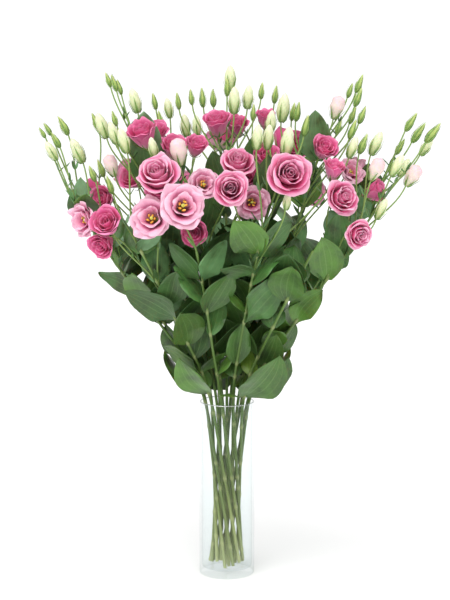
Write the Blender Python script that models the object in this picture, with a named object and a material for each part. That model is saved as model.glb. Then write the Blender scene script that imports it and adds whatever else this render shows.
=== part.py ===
"""Bunch of pink lisianthus stems standing in a clear glass cylinder vase.

Metres, +Z up, the front faces -Y. The origin is the middle of the vase's foot.
The layout below is worked in millimetres and scaled to metres when a mesh is made.
Every stem carries its own leaves, side branches and buds as one solid. Every open
or half open flower is a solid of its own, just clear of its branch.
"""
import cmath
import math
import random

import bmesh
import bpy
from mathutils import Vector
from mathutils.bvhtree import BVHTree

MM = 0.001

# Vase
VASE_RADIUS = 40.0
VASE_HEIGHT = 255.0
VASE_WALL = 3.0
VASE_BASE = 10.0
VASE_SIDES = 32

# Stem fan: the bunch turns and narrows inside the vase, then opens above the rim
FOOT_TURN = 0.85 * cmath.exp(1j * math.radians(100.0))
VASE_SLOPE = (1.0 - FOOT_TURN) / VASE_HEIGHT
BEND_LOW = 235.0
BEND_HIGH = 330.0
FAN_X = 0.0225
FAN_Y = 0.0150
RINGS = ((1, 0.0, 0.0), (6, 15.0, 10.0), (12, 30.5, 16.0))
STEM_FOOT = VASE_BASE + 0.9
STEM_RADIUS = 2.5
STEM_TIP_RADIUS = 1.5
PEDICEL_RADIUS = 1.0
STEM_SIDES = 5
BRANCH_SIDES = 5
BRANCH_STEPS = 3
GAP = 0.4
BUD_KINDS = ("tight", "pale", "blush")

# Open and half open flowers, in mm and degrees:
# kind, x, y, z of the middle of the mouth, azimuth and rise of the face, radius
FLOWERS = (
    ("open", -205, -80, 520, -135, -5, 24),
    ("cup", -165, -120, 525, -105, 30, 22),
    ("cup", -175, -95, 485, -120, -20, 19),
    ("open", -105, -135, 530, -105, 12, 28),
    ("open", -55, -175, 550, -80, 15, 30),
    ("rose", -95, -135, 595, -100, 35, 29),
    ("cup", -95, -60, 565, -90, 0, 20),
    ("cup", -120, -60, 650, -120, 55, 23),
    ("cup", -100, 10, 650, -80, 60, 20),
    ("cup", -40, -60, 630, -70, 50, 17),
    ("cup", -75, -20, 630, -90, 55, 20),
    ("cup", -15, 0, 665, -100, 60, 21),
    ("open", -30, -105, 575, -80, 20, 21),
    ("rose", 5, -165, 570, -90, 10, 24),
    ("rose", 15, -120, 610, -85, 45, 23),
    ("rose", 85, -150, 590, -80, 15, 29),
    ("cup", 55, 20, 670, -80, 70, 15),
    ("cup", 15, 70, 660, -90, 60, 19),
    ("cup", 140, -30, 625, -70, 35, 20),
    ("cup", 150, -55, 600, -60, 65, 17),
    ("open", 180, -5, 590, -60, 30, 20),
    ("rose", 165, -75, 555, -60, 15, 25),
    ("cup", 220, -20, 560, -20, 15, 18),
    ("rose", 185, -85, 500, -65, -10, 21),
    ("open", 35, -95, 545, -85, -5, 23),
    ("cup", 30, -55, 580, -90, 15, 19),
    ("cup", 105, 60, 625, -80, 30, 22),
    ("cup", 55, -35, 615, -85, 40, 20),
    ("cup", -140, 0, 580, -120, 25, 20),
    ("cup", -180, -30, 550, -120, 10, 19),
    ("cup", -45, -110, 505, -95, -10, 19),
    ("open", -150, 110, 585, 120, 25, 25),
    ("rose", -60, 150, 560, 100, 20, 27),
    ("open", 40, 160, 590, 80, 20, 27),
    ("rose", 130, 125, 560, 60, 20, 26),
    ("rose", -10, 110, 640, 90, 45, 23),
    ("cup", 90, 110, 635, 60, 45, 21),
    ("open", 200, 70, 590, 30, 25, 21),
    ("cup", -205, 60, 560, 160, 20, 20),
)

# Buds, in mm: kind, x, y, z of the middle, length
BUDS = (
    ("tight", -260, -10, 640, 16),
    ("tight", -255, 10, 645, 20),
    ("tight", -240, -20, 630, 24),
    ("pale", -245, -30, 615, 30),
    ("tight", -235, 30, 650, 30),
    ("pale", -210, -20, 615, 38),
    ("tight", -170, 30, 715, 22),
    ("tight", -160, 10, 710, 24),
    ("tight", -155, 40, 705, 22),
    ("pale", -130, 0, 685, 36),
    ("tight", -105, 50, 685, 24),
    ("pale", -85, 60, 675, 30),
    ("tight", -70, 20, 685, 24),
    ("tight", -50, -10, 690, 22),
    ("tight", -35, 30, 690, 28),
    ("tight", -20, 60, 690, 26),
    ("pale", -175, -20, 650, 38),
    ("tight", -190, 45, 655, 28),
    ("tight", -155, -50, 660, 22),
    ("pale", -155, -70, 640, 32),
    ("pale", -140, -90, 630, 36),
    ("pale", -100, -90, 620, 30),
    ("pale", -60, 45, 650, 34),
    ("tight", -185, -65, 585, 24),
    ("tight", -180, 10, 590, 26),
    ("tight", -160, -80, 570, 26),
    ("blush", -160, -50, 595, 32),
    ("blush", -65, -105, 615, 38),
    ("pale", 5, 120, 720, 40),
    ("tight", 0, 45, 705, 26),
    ("pale", 10, -40, 685, 38),
    ("pale", 30, 0, 690, 34),
    ("tight", 50, 40, 700, 24),
    ("tight", 70, 50, 695, 26),
    ("pale", 80, 15, 675, 42),
    ("tight", 95, 40, 670, 26),
    ("tight", 100, 10, 670, 28),
    ("tight", 110, -30, 650, 30),
    ("tight", 125, 30, 655, 28),
    ("pale", 40, -135, 635, 34),
    ("pale", 55, -115, 635, 34),
    ("pale", 60, -60, 655, 32),
    ("pale", 80, -125, 630, 40),
    ("blush", 155, 0, 675, 34),
    ("tight", 175, 20, 700, 22),
    ("tight", 190, 40, 710, 28),
    ("tight", 185, 0, 690, 28),
    ("tight", 180, 30, 665, 26),
    ("tight", 190, -10, 665, 26),
    ("tight", 175, -30, 645, 28),
    ("pale", 175, -35, 620, 32),
    ("tight", 190, -30, 625, 30),
    ("pale", 210, -10, 625, 36),
    ("blush", 205, -60, 590, 34),
    ("pale", 235, -50, 595, 34),
    ("tight", 260, 0, 655, 30),
    ("tight", 275, 30, 640, 34),
    ("tight", 290, -10, 640, 34),
    ("pale", 285, 20, 620, 30),
    ("tight", 250, 40, 620, 26),
    ("blush", 260, -25, 580, 34),
    ("pale", 255, 30, 590, 30),
    ("pale", 215, -45, 535, 32),
    ("pale", 80, -120, 550, 26),
    ("tight", -100, 120, 660, 26),
    ("pale", -45, 115, 650, 32),
    ("tight", 40, 150, 670, 26),
    ("pale", 130, 100, 650, 30),
    ("tight", 165, 85, 650, 26),
    ("tight", -170, 80, 640, 28),
)

# The leaves whose places matter most: stem index, height of the node, azimuth, rise at
# the foot and at the tip, roll about the midrib, length, width
FRONT_LEAVES = (
    (16, 480, -135, 55, 35, -40, 66, 44),
    (16, 476, -10, 50, 25, 60, 72, 46),
    (16, 380, -28, 58, 30, 55, 96, 58),
    (17, 338, -35, 50, 32, 55, 72, 54),
    (17, 266, -42, 25, 66, 25, 96, 54),
    (13, 264, -157, 45, 18, -50, 76, 48),
    (16, 274, -74, 48, 80, 0, 70, 36),
    (15, 276, -106, 45, 78, 0, 66, 36),
    (14, 270, -140, 30, 64, -15, 80, 44),
    (18, 270, -12, 25, 60, 20, 84, 44),
    (15, 440, -155, 58, 34, -50, 70, 38),
    (15, 440, -25, 70, 46, 45, 66, 34),
    (14, 382, -165, 42, 16, -50, 84, 42),
    (14, 300, -157, 45, 18, -45, 72, 38),
    (15, 338, -110, 78, 60, 0, 62, 34),
    (16, 318, -85, 84, 66, 0, 62, 32),
    (17, 305, -60, 60, 72, 10, 62, 32),
    (18, 310, -25, 40, 62, 20, 76, 40),
    (13, 310, -170, 50, 26, -45, 76, 38),
    (16, 450, -150, 30, -10, -30, 55, 34),
    (12, 406, -163, 40, 14, -45, 78, 34),
    (18, 374, -15, 50, 26, 50, 82, 32),
    (18, 424, -22, 60, 40, 50, 68, 38),
    (14, 446, -170, 50, 26, -50, 72, 42),
    (16, 268, -130, 30, -10, 0, 40, 24),
    (13, 470, 175, 45, 25, -50, 64, 34),
    (13, 505, 130, 60, 40, -30, 62, 34),
    (17, 420, -55, 55, 40, 25, 80, 48),
    (18, 475, -30, 50, 35, 40, 70, 38),
    (15, 395, -60, 60, 45, 15, 76, 42),
    (14, 345, -140, 50, 30, -40, 80, 44),
    (7, 270, 16, 28, 62, 0, 84, 46),
    (8, 266, 46, 28, 64, 0, 88, 48),
    (9, 272, 76, 28, 62, 0, 84, 46),
    (10, 266, 106, 28, 64, 0, 88, 46),
    (11, 272, 136, 28, 60, 0, 84, 46),
    (12, 266, 166, 28, 62, 0, 84, 44),
    (7, 320, -10, 35, 62, 15, 80, 42),
    (12, 318, 185, 35, 62, -15, 80, 42),
    (1, 600, -80, 60, 72, 0, 78, 40),
    (1, 570, -115, 58, 70, 0, 80, 42),
    (1, 570, 65, 58, 70, 0, 78, 40),
    (1, 535, -60, 55, 66, 0, 84, 44),
    (1, 535, 120, 55, 66, 0, 84, 42),
    (6, 545, -75, 60, 70, 0, 72, 38),
    (6, 515, -20, 55, 66, 20, 78, 40),
    (2, 570, -90, 60, 72, 0, 72, 36),
    (2, 540, -20, 58, 68, 20, 74, 36),
    (2, 540, 160, 58, 68, 0, 74, 36),
    (3, 570, -95, 60, 72, 0, 72, 36),
    (3, 540, -150, 58, 68, -20, 74, 38),
    (4, 600, -100, 60, 72, 0, 76, 40),
    (4, 570, -60, 58, 70, 0, 76, 40),
    (4, 540, -140, 58, 68, -20, 78, 42),
    (0, 580, -90, 62, 74, 0, 70, 34),
    (0, 550, -150, 60, 70, -20, 72, 36),
    (0, 550, -30, 60, 70, 20, 72, 36),
    (7, 540, -60, 55, 66, 20, 66, 34),
    (12, 520, -110, 55, 66, 0, 66, 34),
    (5, 505, -95, 60, 72, 0, 66, 34),
)

LEAF_NODES = (268.0, 298.0, 332.0, 366.0, 402.0, 438.0, 474.0, 510.0, 546.0, 578.0,
              606.0)
LEAF_LENGTHS = (56.0, 66.0, 78.0, 84.0, 84.0, 78.0, 70.0, 60.0, 50.0,
                46.0, 42.0)
LEAF_TURNS = (0.0, 20.0, -20.0, 42.0, -42.0, 66.0, -66.0)
LEAF_SCALES = (1.0, 0.84, 0.7, 0.56)
LEAF_LIFTS = (0.0, 14.0)


def plan(c, z):
    """Where the stem line named by its rim position c is in plan at height z."""
    place = c * (FOOT_TURN + VASE_SLOPE * min(z, BEND_LOW))
    if z <= BEND_LOW:
        return place
    fan = complex(FAN_X * c.real, FAN_Y * c.imag)
    climb = min(z, BEND_HIGH) - BEND_LOW
    turn = climb * climb / (2.0 * (BEND_HIGH - BEND_LOW))
    place += c * VASE_SLOPE * (climb - turn) + fan * turn
    return place + fan * max(0.0, z - BEND_HIGH)


def rim_position(x, y, z):
    """The rim position c of the stem line that passes through (x, y) at height z."""
    a, b = plan(1.0 + 0j, z), plan(1j, z)
    det = a.real * b.imag - b.real * a.imag
    return complex((x * b.imag - b.real * y) / det, (a.real * y - x * a.imag) / det)


def stem_lines():
    """The rim positions of all stems: one in the middle and two rings about it."""
    chance = random.Random(11)
    lines = []
    for count, radius, start in RINGS:
        for i in range(count):
            c = radius * cmath.exp(1j * math.radians(start + 360.0 * i / count))
            lines.append(c + complex(chance.uniform(-1, 1), chance.uniform(-1, 1)))
    return lines


def stalk_point(c, z):
    """A point of the stalk's middle line in mm, swaying a little above the rim."""
    p = plan(c, z)
    if z > BEND_HIGH:
        phase = cmath.phase(c + 0.1) * 3.0
        p += 4.0 * math.sin(math.pi * (z - BEND_HIGH) / 260.0) * cmath.exp(1j * phase)
    return Vector((p.real, p.imag, z))


def direction(azimuth, rise):
    """Unit vector from a plan angle and a rise above the level, both in degrees."""
    a, e = math.radians(azimuth), math.radians(rise)
    return Vector((math.cos(a) * math.cos(e), math.sin(a) * math.cos(e), math.sin(e)))


def bezier(p0, p1, p2, p3, steps):
    """Points along a cubic curve, both ends included."""
    points = []
    for i in range(steps + 1):
        t = i / steps
        s = 1.0 - t
        points.append(p0 * s ** 3 + p1 * 3 * s * s * t + p2 * 3 * s * t * t + p3 * t ** 3)
    return points


def tube(points, radii, sides):
    """A closed tube mesh through the points, as a BMesh in mm."""
    mesh = bmesh.new()
    rings = []
    normal = Vector((1.0, 0.0, 0.0))
    for i, (point, radius) in enumerate(zip(points, radii)):
        along = (points[min(i + 1, len(points) - 1)] - points[max(i - 1, 0)]).normalized()
        normal = (normal - along * normal.dot(along)).normalized()
        across = along.cross(normal)
        ring = []
        for k in range(sides):
            a = 2.0 * math.pi * k / sides
            ring.append(mesh.verts.new(point + (normal * math.cos(a) + across * math.sin(a)) * radius))
        rings.append(ring)
    for low, high in zip(rings, rings[1:]):
        for k in range(sides):
            n = (k + 1) % sides
            mesh.faces.new((low[k], low[n], high[n], high[k]))
    mesh.faces.new(tuple(reversed(rings[0])))
    mesh.faces.new(tuple(rings[-1]))
    return mesh


def bud_shape(kind, length):
    """Stations (share of the length, radius in mm) of a bud from base to tip."""
    width = length * {"tight": 0.185, "pale": 0.225, "blush": 0.31}[kind]
    tip = {"tight": 0.12, "pale": 0.14, "blush": 0.55}[kind]
    return ((0.0, PEDICEL_RADIUS * 1.3), (0.14, width * 0.80), (0.45, width), (1.0, width * tip))


def flower_shape(kind, radius):
    """Stations (distance along the axis, radius in mm) of a flower's outer shape."""
    depth = {"open": 1.25, "rose": 1.45, "cup": 1.75}[kind] * radius
    belly = {"open": 0.62, "rose": 0.86, "cup": 0.66}[kind]
    face = {"open": 0.92, "rose": 0.80, "cup": 0.96}[kind]
    return ((0.0, 2.6), (0.14 * depth, 0.34 * radius), (0.50 * depth, belly * radius),
            (0.84 * depth, radius), (depth, face * radius))


def flower_depth(kind, radius):
    """Length of a flower from its base to the plane of its mouth."""
    return flower_shape(kind, radius)[-1][0]


def head_table():
    """Every head as a dict with its axis, base point, stem and kind."""
    lines = stem_lines()
    heads = []
    for kind, x, y, z, azimuth, rise, radius in FLOWERS:
        axis = direction(azimuth, rise)
        base = Vector((x, y, z)) - axis * flower_depth(kind, radius)
        heads.append({"kind": kind, "axis": axis, "base": base, "size": radius, "z": z})
    for kind, x, y, z, length in BUDS:
        out = math.hypot(x, y)
        lean = math.radians(4.0 + 34.0 * (out / 290.0) ** 1.5)
        axis = Vector((x / out * math.sin(lean), y / out * math.sin(lean), math.cos(lean)))
        base = Vector((x, y, z)) - axis * (length * 0.5)
        heads.append({"kind": kind, "axis": axis, "base": base, "size": length, "z": z})
    for head in heads:
        b = head["base"]
        c = rim_position(b.x, b.y, b.z)
        head["stem"] = min(range(len(lines)), key=lambda i: abs(lines[i] - c))
    return lines, heads


def branch_curve(c, head):
    """The pedicel's points from its fork on the stalk up to the head's base."""
    base, axis = head["base"], head["axis"]
    aside = (stalk_point(c, base.z) - base).length
    fork = max(275.0, base.z - 46.0 - 1.15 * aside)
    start = stalk_point(c, fork)
    reach = (base - start).length
    climb = (stalk_point(c, fork + 10.0) - start).normalized()
    out = (base - start).normalized()
    first = start + (climb * 0.55 + out * 0.45).normalized() * reach * 0.36
    collar = base - axis * 3.0
    last = collar - (axis * 0.8 + Vector((0, 0, 0.35))).normalized() * min(reach * 0.33, 34.0)
    if head["kind"] in BUD_KINDS:
        return bezier(start, first, last, base, BRANCH_STEPS)
    return bezier(start, first, last, collar, BRANCH_STEPS) + [base]


def leaf_midline(base, azimuth, rises, length):
    """Four points along a leaf from its foot to its tip, curving from one rise to the other."""
    points = [base]
    for low, high in zip(LEAF_STATIONS, LEAF_STATIONS[1:]):
        rise = rises[0] + (rises[1] - rises[0]) * 0.5 * (low + high)
        points.append(points[-1] + direction(azimuth, rise) * length * (high - low))
    return points


LEAF_STATIONS = (0.0, 0.28, 0.62, 1.0)
LEAF_WIDTHS = (0.30, 1.0, 0.80)


def leaf(base, azimuth, rises, roll, length, width, grow=0.0, bare=False):
    """A thin closed leaf plate with a folded diamond section and a pointed tip."""
    mesh = bmesh.new()
    points = leaf_midline(base, azimuth, rises, length)
    if bare:
        points[0] = points[0].lerp(points[1], 0.45)
    level = direction(azimuth + 90.0, 0.0)
    rings = []
    for i, share in enumerate(LEAF_WIDTHS):
        along = (points[i + 1] - points[i]).normalized()
        twist = math.radians(roll * min(1.0, 0.25 + 0.75 * i))
        side = level * math.cos(twist) + level.cross(along) * math.sin(twist)
        up = side.cross(along)
        half = 0.5 * width * (share if not (bare and i == 0) else 0.6) + grow
        lift = up * half * 0.22
        thick = 0.75 + grow
        ring = (points[i] + side * half + lift, points[i] + up * thick,
                points[i] - side * half + lift, points[i] - up * thick)
        rings.append([mesh.verts.new(v) for v in ring])
    for low, high in zip(rings, rings[1:]):
        for k in range(4):
            n = (k + 1) % 4
            margin, middle = (k, n) if k % 2 == 0 else (n, k)
            mesh.faces.new((low[margin], low[middle], high[middle]))
            mesh.faces.new((low[margin], high[middle], high[margin]))
    tip = mesh.verts.new(points[3] + (points[3] - points[2]).normalized() * grow)
    mesh.faces.new(tuple(reversed(rings[0])))
    for k in range(4):
        mesh.faces.new((rings[-1][k], rings[-1][(k + 1) % 4], tip))
    bmesh.ops.recalc_face_normals(mesh, faces=mesh.faces)
    return mesh


def leaf_options(line, index):
    """Every leaf the stem may carry: for each place, its choices from best to least."""
    chance = random.Random(100 + index)
    spin = math.degrees(cmath.phase(line + 0.1)) + 35.0 + chance.uniform(-20, 20)
    places = []
    for level, (z, length) in enumerate(zip(LEAF_NODES, LEAF_LENGTHS)):
        height = z + chance.uniform(-10, 10)
        rise, tip, roll = chance.uniform(56, 70), chance.uniform(16, 44), chance.uniform(-25, 25)
        long = length * chance.uniform(0.88, 1.1)
        wide = long * chance.uniform(0.50, 0.64)
        for half in (0.0, 176.0):
            azimuth = spin + 90.0 * level + half
            places.append([(height + half * 0.012, azimuth + turn, (rise + lift, tip + lift), roll,
                            long * scale, wide * scale)
                           for scale in LEAF_SCALES for lift in LEAF_LIFTS for turn in LEAF_TURNS])
    return places


def place_leaves(lines, tops, parts, solids):
    """Grow leaves wherever one fits clear of every stem, flower and earlier leaf."""
    trees = [(owner, BVHTree.FromBMesh(mesh)) for owner, mesh in solids]
    grown = 0
    queue = []
    for rank, (index, height, azimuth, low, high, roll, long, wide) in enumerate(FRONT_LEAVES):
        queue.append((-99, index, rank, [(height, azimuth + turn, (low, high), roll, long * scale, wide * scale)
                                         for scale in LEAF_SCALES for turn in LEAF_TURNS[:5]]))
    for index, line in enumerate(lines):
        for rank, options in enumerate(leaf_options(line, index)):
            queue.append((-(rank // 2), index, rank, options))
    for _, index, rank, options in sorted(queue, key=lambda item: item[:3]):
        for height, azimuth, rises, roll, long, wide in options:
            if height > tops[index] - 12.0:
                break
            foot = stalk_point(lines[index], height) - direction(azimuth, 0.0) * 1.1
            whole = BVHTree.FromBMesh(leaf(foot, azimuth, rises, roll, long, wide, 0.8))
            blade = BVHTree.FromBMesh(leaf(foot, azimuth, rises, roll, long, wide, 0.8, True))
            if any((whole if owner != index else blade).overlap(tree) for owner, tree in trees):
                continue
            mesh = leaf(foot, azimuth, rises, roll, long, wide)
            parts[index].append(mesh)
            trees.append((index, BVHTree.FromBMesh(mesh)))
            grown += 1
            break
    return grown


def turned(stations, base, axis, sides):
    """A closed turned solid along the axis from (distance, radius) stations."""
    points = [base + axis * d for d, _ in stations]
    return tube(points, [r for _, r in stations], sides)


def flower_solid(head):
    """The closed outer shape of a flower, just clear of its pedicel."""
    stations = flower_shape(head["kind"], head["size"])
    return turned(stations, head["base"] + head["axis"] * GAP, head["axis"], 8)


def stem_solids(lines, heads):
    """For each stem its loose closed meshes, and the height its stalk ends at."""
    parts, tops = [], []
    for index, line in enumerate(lines):
        own = [h for h in heads if h["stem"] == index]
        curves = [branch_curve(line, head) for head in own]
        top = max([c[0].z for c in curves], default=480.0)
        heights = [STEM_FOOT, BEND_LOW, 262.0, 292.0, BEND_HIGH]
        count = max(1, round((top - BEND_HIGH) / 60.0))
        heights = [z for z in heights if z < top - 5.0]
        heights += [BEND_HIGH + (top - BEND_HIGH) * (i + 1) / count for i in range(count)]
        radii = [STEM_RADIUS + (STEM_TIP_RADIUS - STEM_RADIUS) * z / 620.0 for z in heights]
        meshes = [tube([stalk_point(line, z) for z in heights], radii, STEM_SIDES)]
        for head, curve in zip(own, curves):
            radii = [PEDICEL_RADIUS * (1.35 - 0.07 * i) for i in range(len(curve))]
            if head["kind"] in BUD_KINDS:
                for share, radius in bud_shape(head["kind"], head["size"])[1:]:
                    curve.append(head["base"] + head["axis"] * head["size"] * share)
                    radii.append(radius)
            meshes.append(tube(curve, radii, BRANCH_SIDES))
        parts.append(meshes)
        tops.append(top)
    return parts, tops


def vase_mesh():
    """The clear cylinder: a turned wall with a thick flat foot, open at the top."""
    mesh = bmesh.new()
    inner = VASE_RADIUS - VASE_WALL
    profile = ((0.0, 0.0), (VASE_RADIUS - 1.5, 0.0), (VASE_RADIUS, 1.5), (VASE_RADIUS, VASE_HEIGHT),
               (inner, VASE_HEIGHT), (inner, VASE_BASE), (0.0, VASE_BASE))
    verts = [mesh.verts.new((r, 0.0, z)) for r, z in profile]
    edges = [mesh.edges.new(pair) for pair in zip(verts, verts[1:])]
    bmesh.ops.spin(mesh, geom=verts + edges, cent=(0, 0, 0), axis=(0, 0, 1), dvec=(0, 0, 0),
                   angle=2.0 * math.pi, steps=VASE_SIDES, use_merge=True, use_duplicate=False)
    bmesh.ops.remove_doubles(mesh, verts=mesh.verts, dist=0.01)
    bmesh.ops.recalc_face_normals(mesh, faces=mesh.faces)
    return mesh


def paint(name, colour, roughness, transmission=0.0):
    """A Principled material."""
    material = bpy.data.materials.new(name)
    material.use_nodes = True
    shader = material.node_tree.nodes["Principled BSDF"]
    shader.inputs["Base Color"].default_value = (*colour, 1.0)
    shader.inputs["Roughness"].default_value = roughness
    shader.inputs["Transmission Weight"].default_value = transmission
    return material


def as_object(name, mesh, material):
    """Put a millimetre BMesh into the scene as an object in metres."""
    bmesh.ops.scale(mesh, vec=(MM, MM, MM), verts=mesh.verts)
    data = bpy.data.meshes.new(name)
    mesh.to_mesh(data)
    mesh.free()
    thing = bpy.data.objects.new(name, data)
    bpy.context.scene.collection.objects.link(thing)
    if material:
        data.materials.append(material)
    return thing


def without_pockets(data):
    """Drop the tiny closed shells a union can leave inside a joint, keeping the outer skin."""
    mesh = bmesh.new()
    mesh.from_mesh(data)
    loose = set(mesh.verts)
    shells = []
    while loose:
        shell, front = set(), [loose.pop()]
        while front:
            vert = front.pop()
            shell.add(vert)
            near = {edge.other_vert(vert) for edge in vert.link_edges} & loose
            loose -= near
            front.extend(near)
        shells.append(shell)
    shells.sort(key=len)
    spare = [vert for shell in shells[:-1] for vert in shell]
    bmesh.ops.delete(mesh, geom=spare, context="VERTS")
    mesh.to_mesh(data)
    mesh.free()


def joined(name, meshes, material):
    """One closed body from several overlapping closed meshes, by an exact union."""
    body = as_object(name, meshes[0], material)
    group = bpy.data.collections.new(name + "_pieces")
    bpy.context.scene.collection.children.link(group)
    pieces = []
    for i, mesh in enumerate(meshes[1:]):
        piece = as_object("%s_piece_%02d" % (name, i), mesh, None)
        bpy.context.scene.collection.objects.unlink(piece)
        group.objects.link(piece)
        pieces.append(piece)
    union = body.modifiers.new("union", "BOOLEAN")
    union.operation = "UNION"
    union.solver = "EXACT"
    union.operand_type = "COLLECTION"
    union.collection = group
    graph = bpy.context.evaluated_depsgraph_get()
    data = bpy.data.meshes.new_from_object(body.evaluated_get(graph))
    body.modifiers.clear()
    without_pockets(data)
    body.data = data
    data.materials.clear()
    data.materials.append(material)
    for piece in pieces:
        bpy.data.objects.remove(piece)
    bpy.data.collections.remove(group)
    return body


def build():
    """Model the whole bunch in its vase."""
    glass = paint("clear_glass", (0.95, 0.98, 0.97), 0.03, 1.0)
    green = paint("stem_green", (0.17, 0.30, 0.12), 0.55)
    petals = {"open": paint("petal_light_pink", (0.86, 0.42, 0.58), 0.6),
              "rose": paint("petal_pink", (0.84, 0.28, 0.48), 0.6),
              "cup": paint("petal_deep_pink", (0.74, 0.16, 0.38), 0.6)}
    lines, heads = head_table()
    parts, tops = stem_solids(lines, heads)
    flowers = [(head, flower_solid(head)) for head in heads if head["kind"] in petals]
    vase = vase_mesh()
    solids = [(-1, vase)] + [(-1, mesh) for _, mesh in flowers]
    solids += [(index, mesh) for index, meshes in enumerate(parts) for mesh in meshes]
    grown = place_leaves(lines, tops, parts, solids)
    print("leaves grown:", grown)
    as_object("vase", vase, glass)
    for number, (head, mesh) in enumerate(flowers, 1):
        as_object("flower_%s_%02d" % (head["kind"], number), mesh, petals[head["kind"]])
    for index, meshes in enumerate(parts):
        joined("stem_%02d" % (index + 1), meshes, green)


for old in list(bpy.data.objects):
    bpy.data.objects.remove(old)
build()
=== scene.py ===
"""A bunch of pink double lisianthus standing in a clear glass cylinder vase.

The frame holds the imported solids. Every piece below stands for one of them: the
stems with their leaves and buds, the blooms, and the vase. The layout is worked in
millimetres and each finished mesh is scaled to metres.
"""
import cmath
import logging
import math
import random
from dataclasses import dataclass, field
from enum import Enum
from typing import Callable, Iterable, Sequence

import bmesh
import bpy
from bmesh.types import BMesh, BMVert
from bpy.types import Material, Mesh, NodeSocket, Object, World
from mathutils import Matrix, Vector
from mathutils.kdtree import KDTree


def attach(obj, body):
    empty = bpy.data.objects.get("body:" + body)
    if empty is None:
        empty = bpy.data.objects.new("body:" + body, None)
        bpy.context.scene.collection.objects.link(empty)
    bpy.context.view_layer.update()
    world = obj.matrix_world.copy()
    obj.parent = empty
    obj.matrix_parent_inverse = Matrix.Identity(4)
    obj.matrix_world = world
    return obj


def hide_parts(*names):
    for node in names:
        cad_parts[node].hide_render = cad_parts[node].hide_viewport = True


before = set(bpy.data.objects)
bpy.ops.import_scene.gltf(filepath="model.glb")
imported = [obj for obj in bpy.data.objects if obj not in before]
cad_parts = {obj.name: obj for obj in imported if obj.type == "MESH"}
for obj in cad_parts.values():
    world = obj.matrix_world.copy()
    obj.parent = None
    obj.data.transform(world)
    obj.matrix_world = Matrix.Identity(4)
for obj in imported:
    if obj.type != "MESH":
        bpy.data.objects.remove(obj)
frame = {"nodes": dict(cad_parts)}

log = logging.getLogger("lisianthus")
MM = 0.001
Colour = tuple[float, float, float]
Place = Callable[[float, float], Vector]
Tint = Callable[[float, float], tuple[float, float, float]]


class Bloom(Enum):
    """How far a bloom has opened."""

    OPEN = "open"
    ROSE = "rose"
    CUP = "cup"


class BudKind(Enum):
    """How far a bud has come."""

    TIGHT = "tight"
    PALE = "pale"
    BLUSH = "blush"


# Blooms: kind, then x, y, z of the middle of the mouth, azimuth and rise of the face, radius
FLOWERS = (
    ("open", -205, -80, 520, -135, -5, 24),
    ("cup", -165, -120, 525, -105, 30, 22),
    ("cup", -175, -95, 485, -120, -20, 19),
    ("open", -105, -135, 530, -105, 12, 28),
    ("open", -55, -175, 550, -80, 15, 30),
    ("rose", -95, -135, 595, -100, 35, 29),
    ("cup", -95, -60, 565, -90, 0, 20),
    ("cup", -120, -60, 650, -120, 55, 23),
    ("cup", -100, 10, 650, -80, 60, 20),
    ("cup", -40, -60, 630, -70, 50, 17),
    ("cup", -75, -20, 630, -90, 55, 20),
    ("cup", -15, 0, 665, -100, 60, 21),
    ("open", -30, -105, 575, -80, 20, 21),
    ("rose", 5, -165, 570, -90, 10, 24),
    ("rose", 15, -120, 610, -85, 45, 23),
    ("rose", 85, -150, 590, -80, 15, 29),
    ("cup", 55, 20, 670, -80, 70, 15),
    ("cup", 15, 70, 660, -90, 60, 19),
    ("cup", 140, -30, 625, -70, 35, 20),
    ("cup", 150, -55, 600, -60, 65, 17),
    ("open", 180, -5, 590, -60, 30, 20),
    ("rose", 165, -75, 555, -60, 15, 25),
    ("cup", 220, -20, 560, -20, 15, 18),
    ("rose", 185, -85, 500, -65, -10, 21),
    ("open", 35, -95, 545, -85, -5, 23),
    ("cup", 30, -55, 580, -90, 15, 19),
    ("cup", 105, 60, 625, -80, 30, 22),
    ("cup", 55, -35, 615, -85, 40, 20),
    ("cup", -140, 0, 580, -120, 25, 20),
    ("cup", -180, -30, 550, -120, 10, 19),
    ("cup", -45, -110, 505, -95, -10, 19),
    ("open", -150, 110, 585, 120, 25, 25),
    ("rose", -60, 150, 560, 100, 20, 27),
    ("open", 40, 160, 590, 80, 20, 27),
    ("rose", 130, 125, 560, 60, 20, 26),
    ("rose", -10, 110, 640, 90, 45, 23),
    ("cup", 90, 110, 635, 60, 45, 21),
    ("open", 200, 70, 590, 30, 25, 21),
    ("cup", -205, 60, 560, 160, 20, 20),
)

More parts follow.
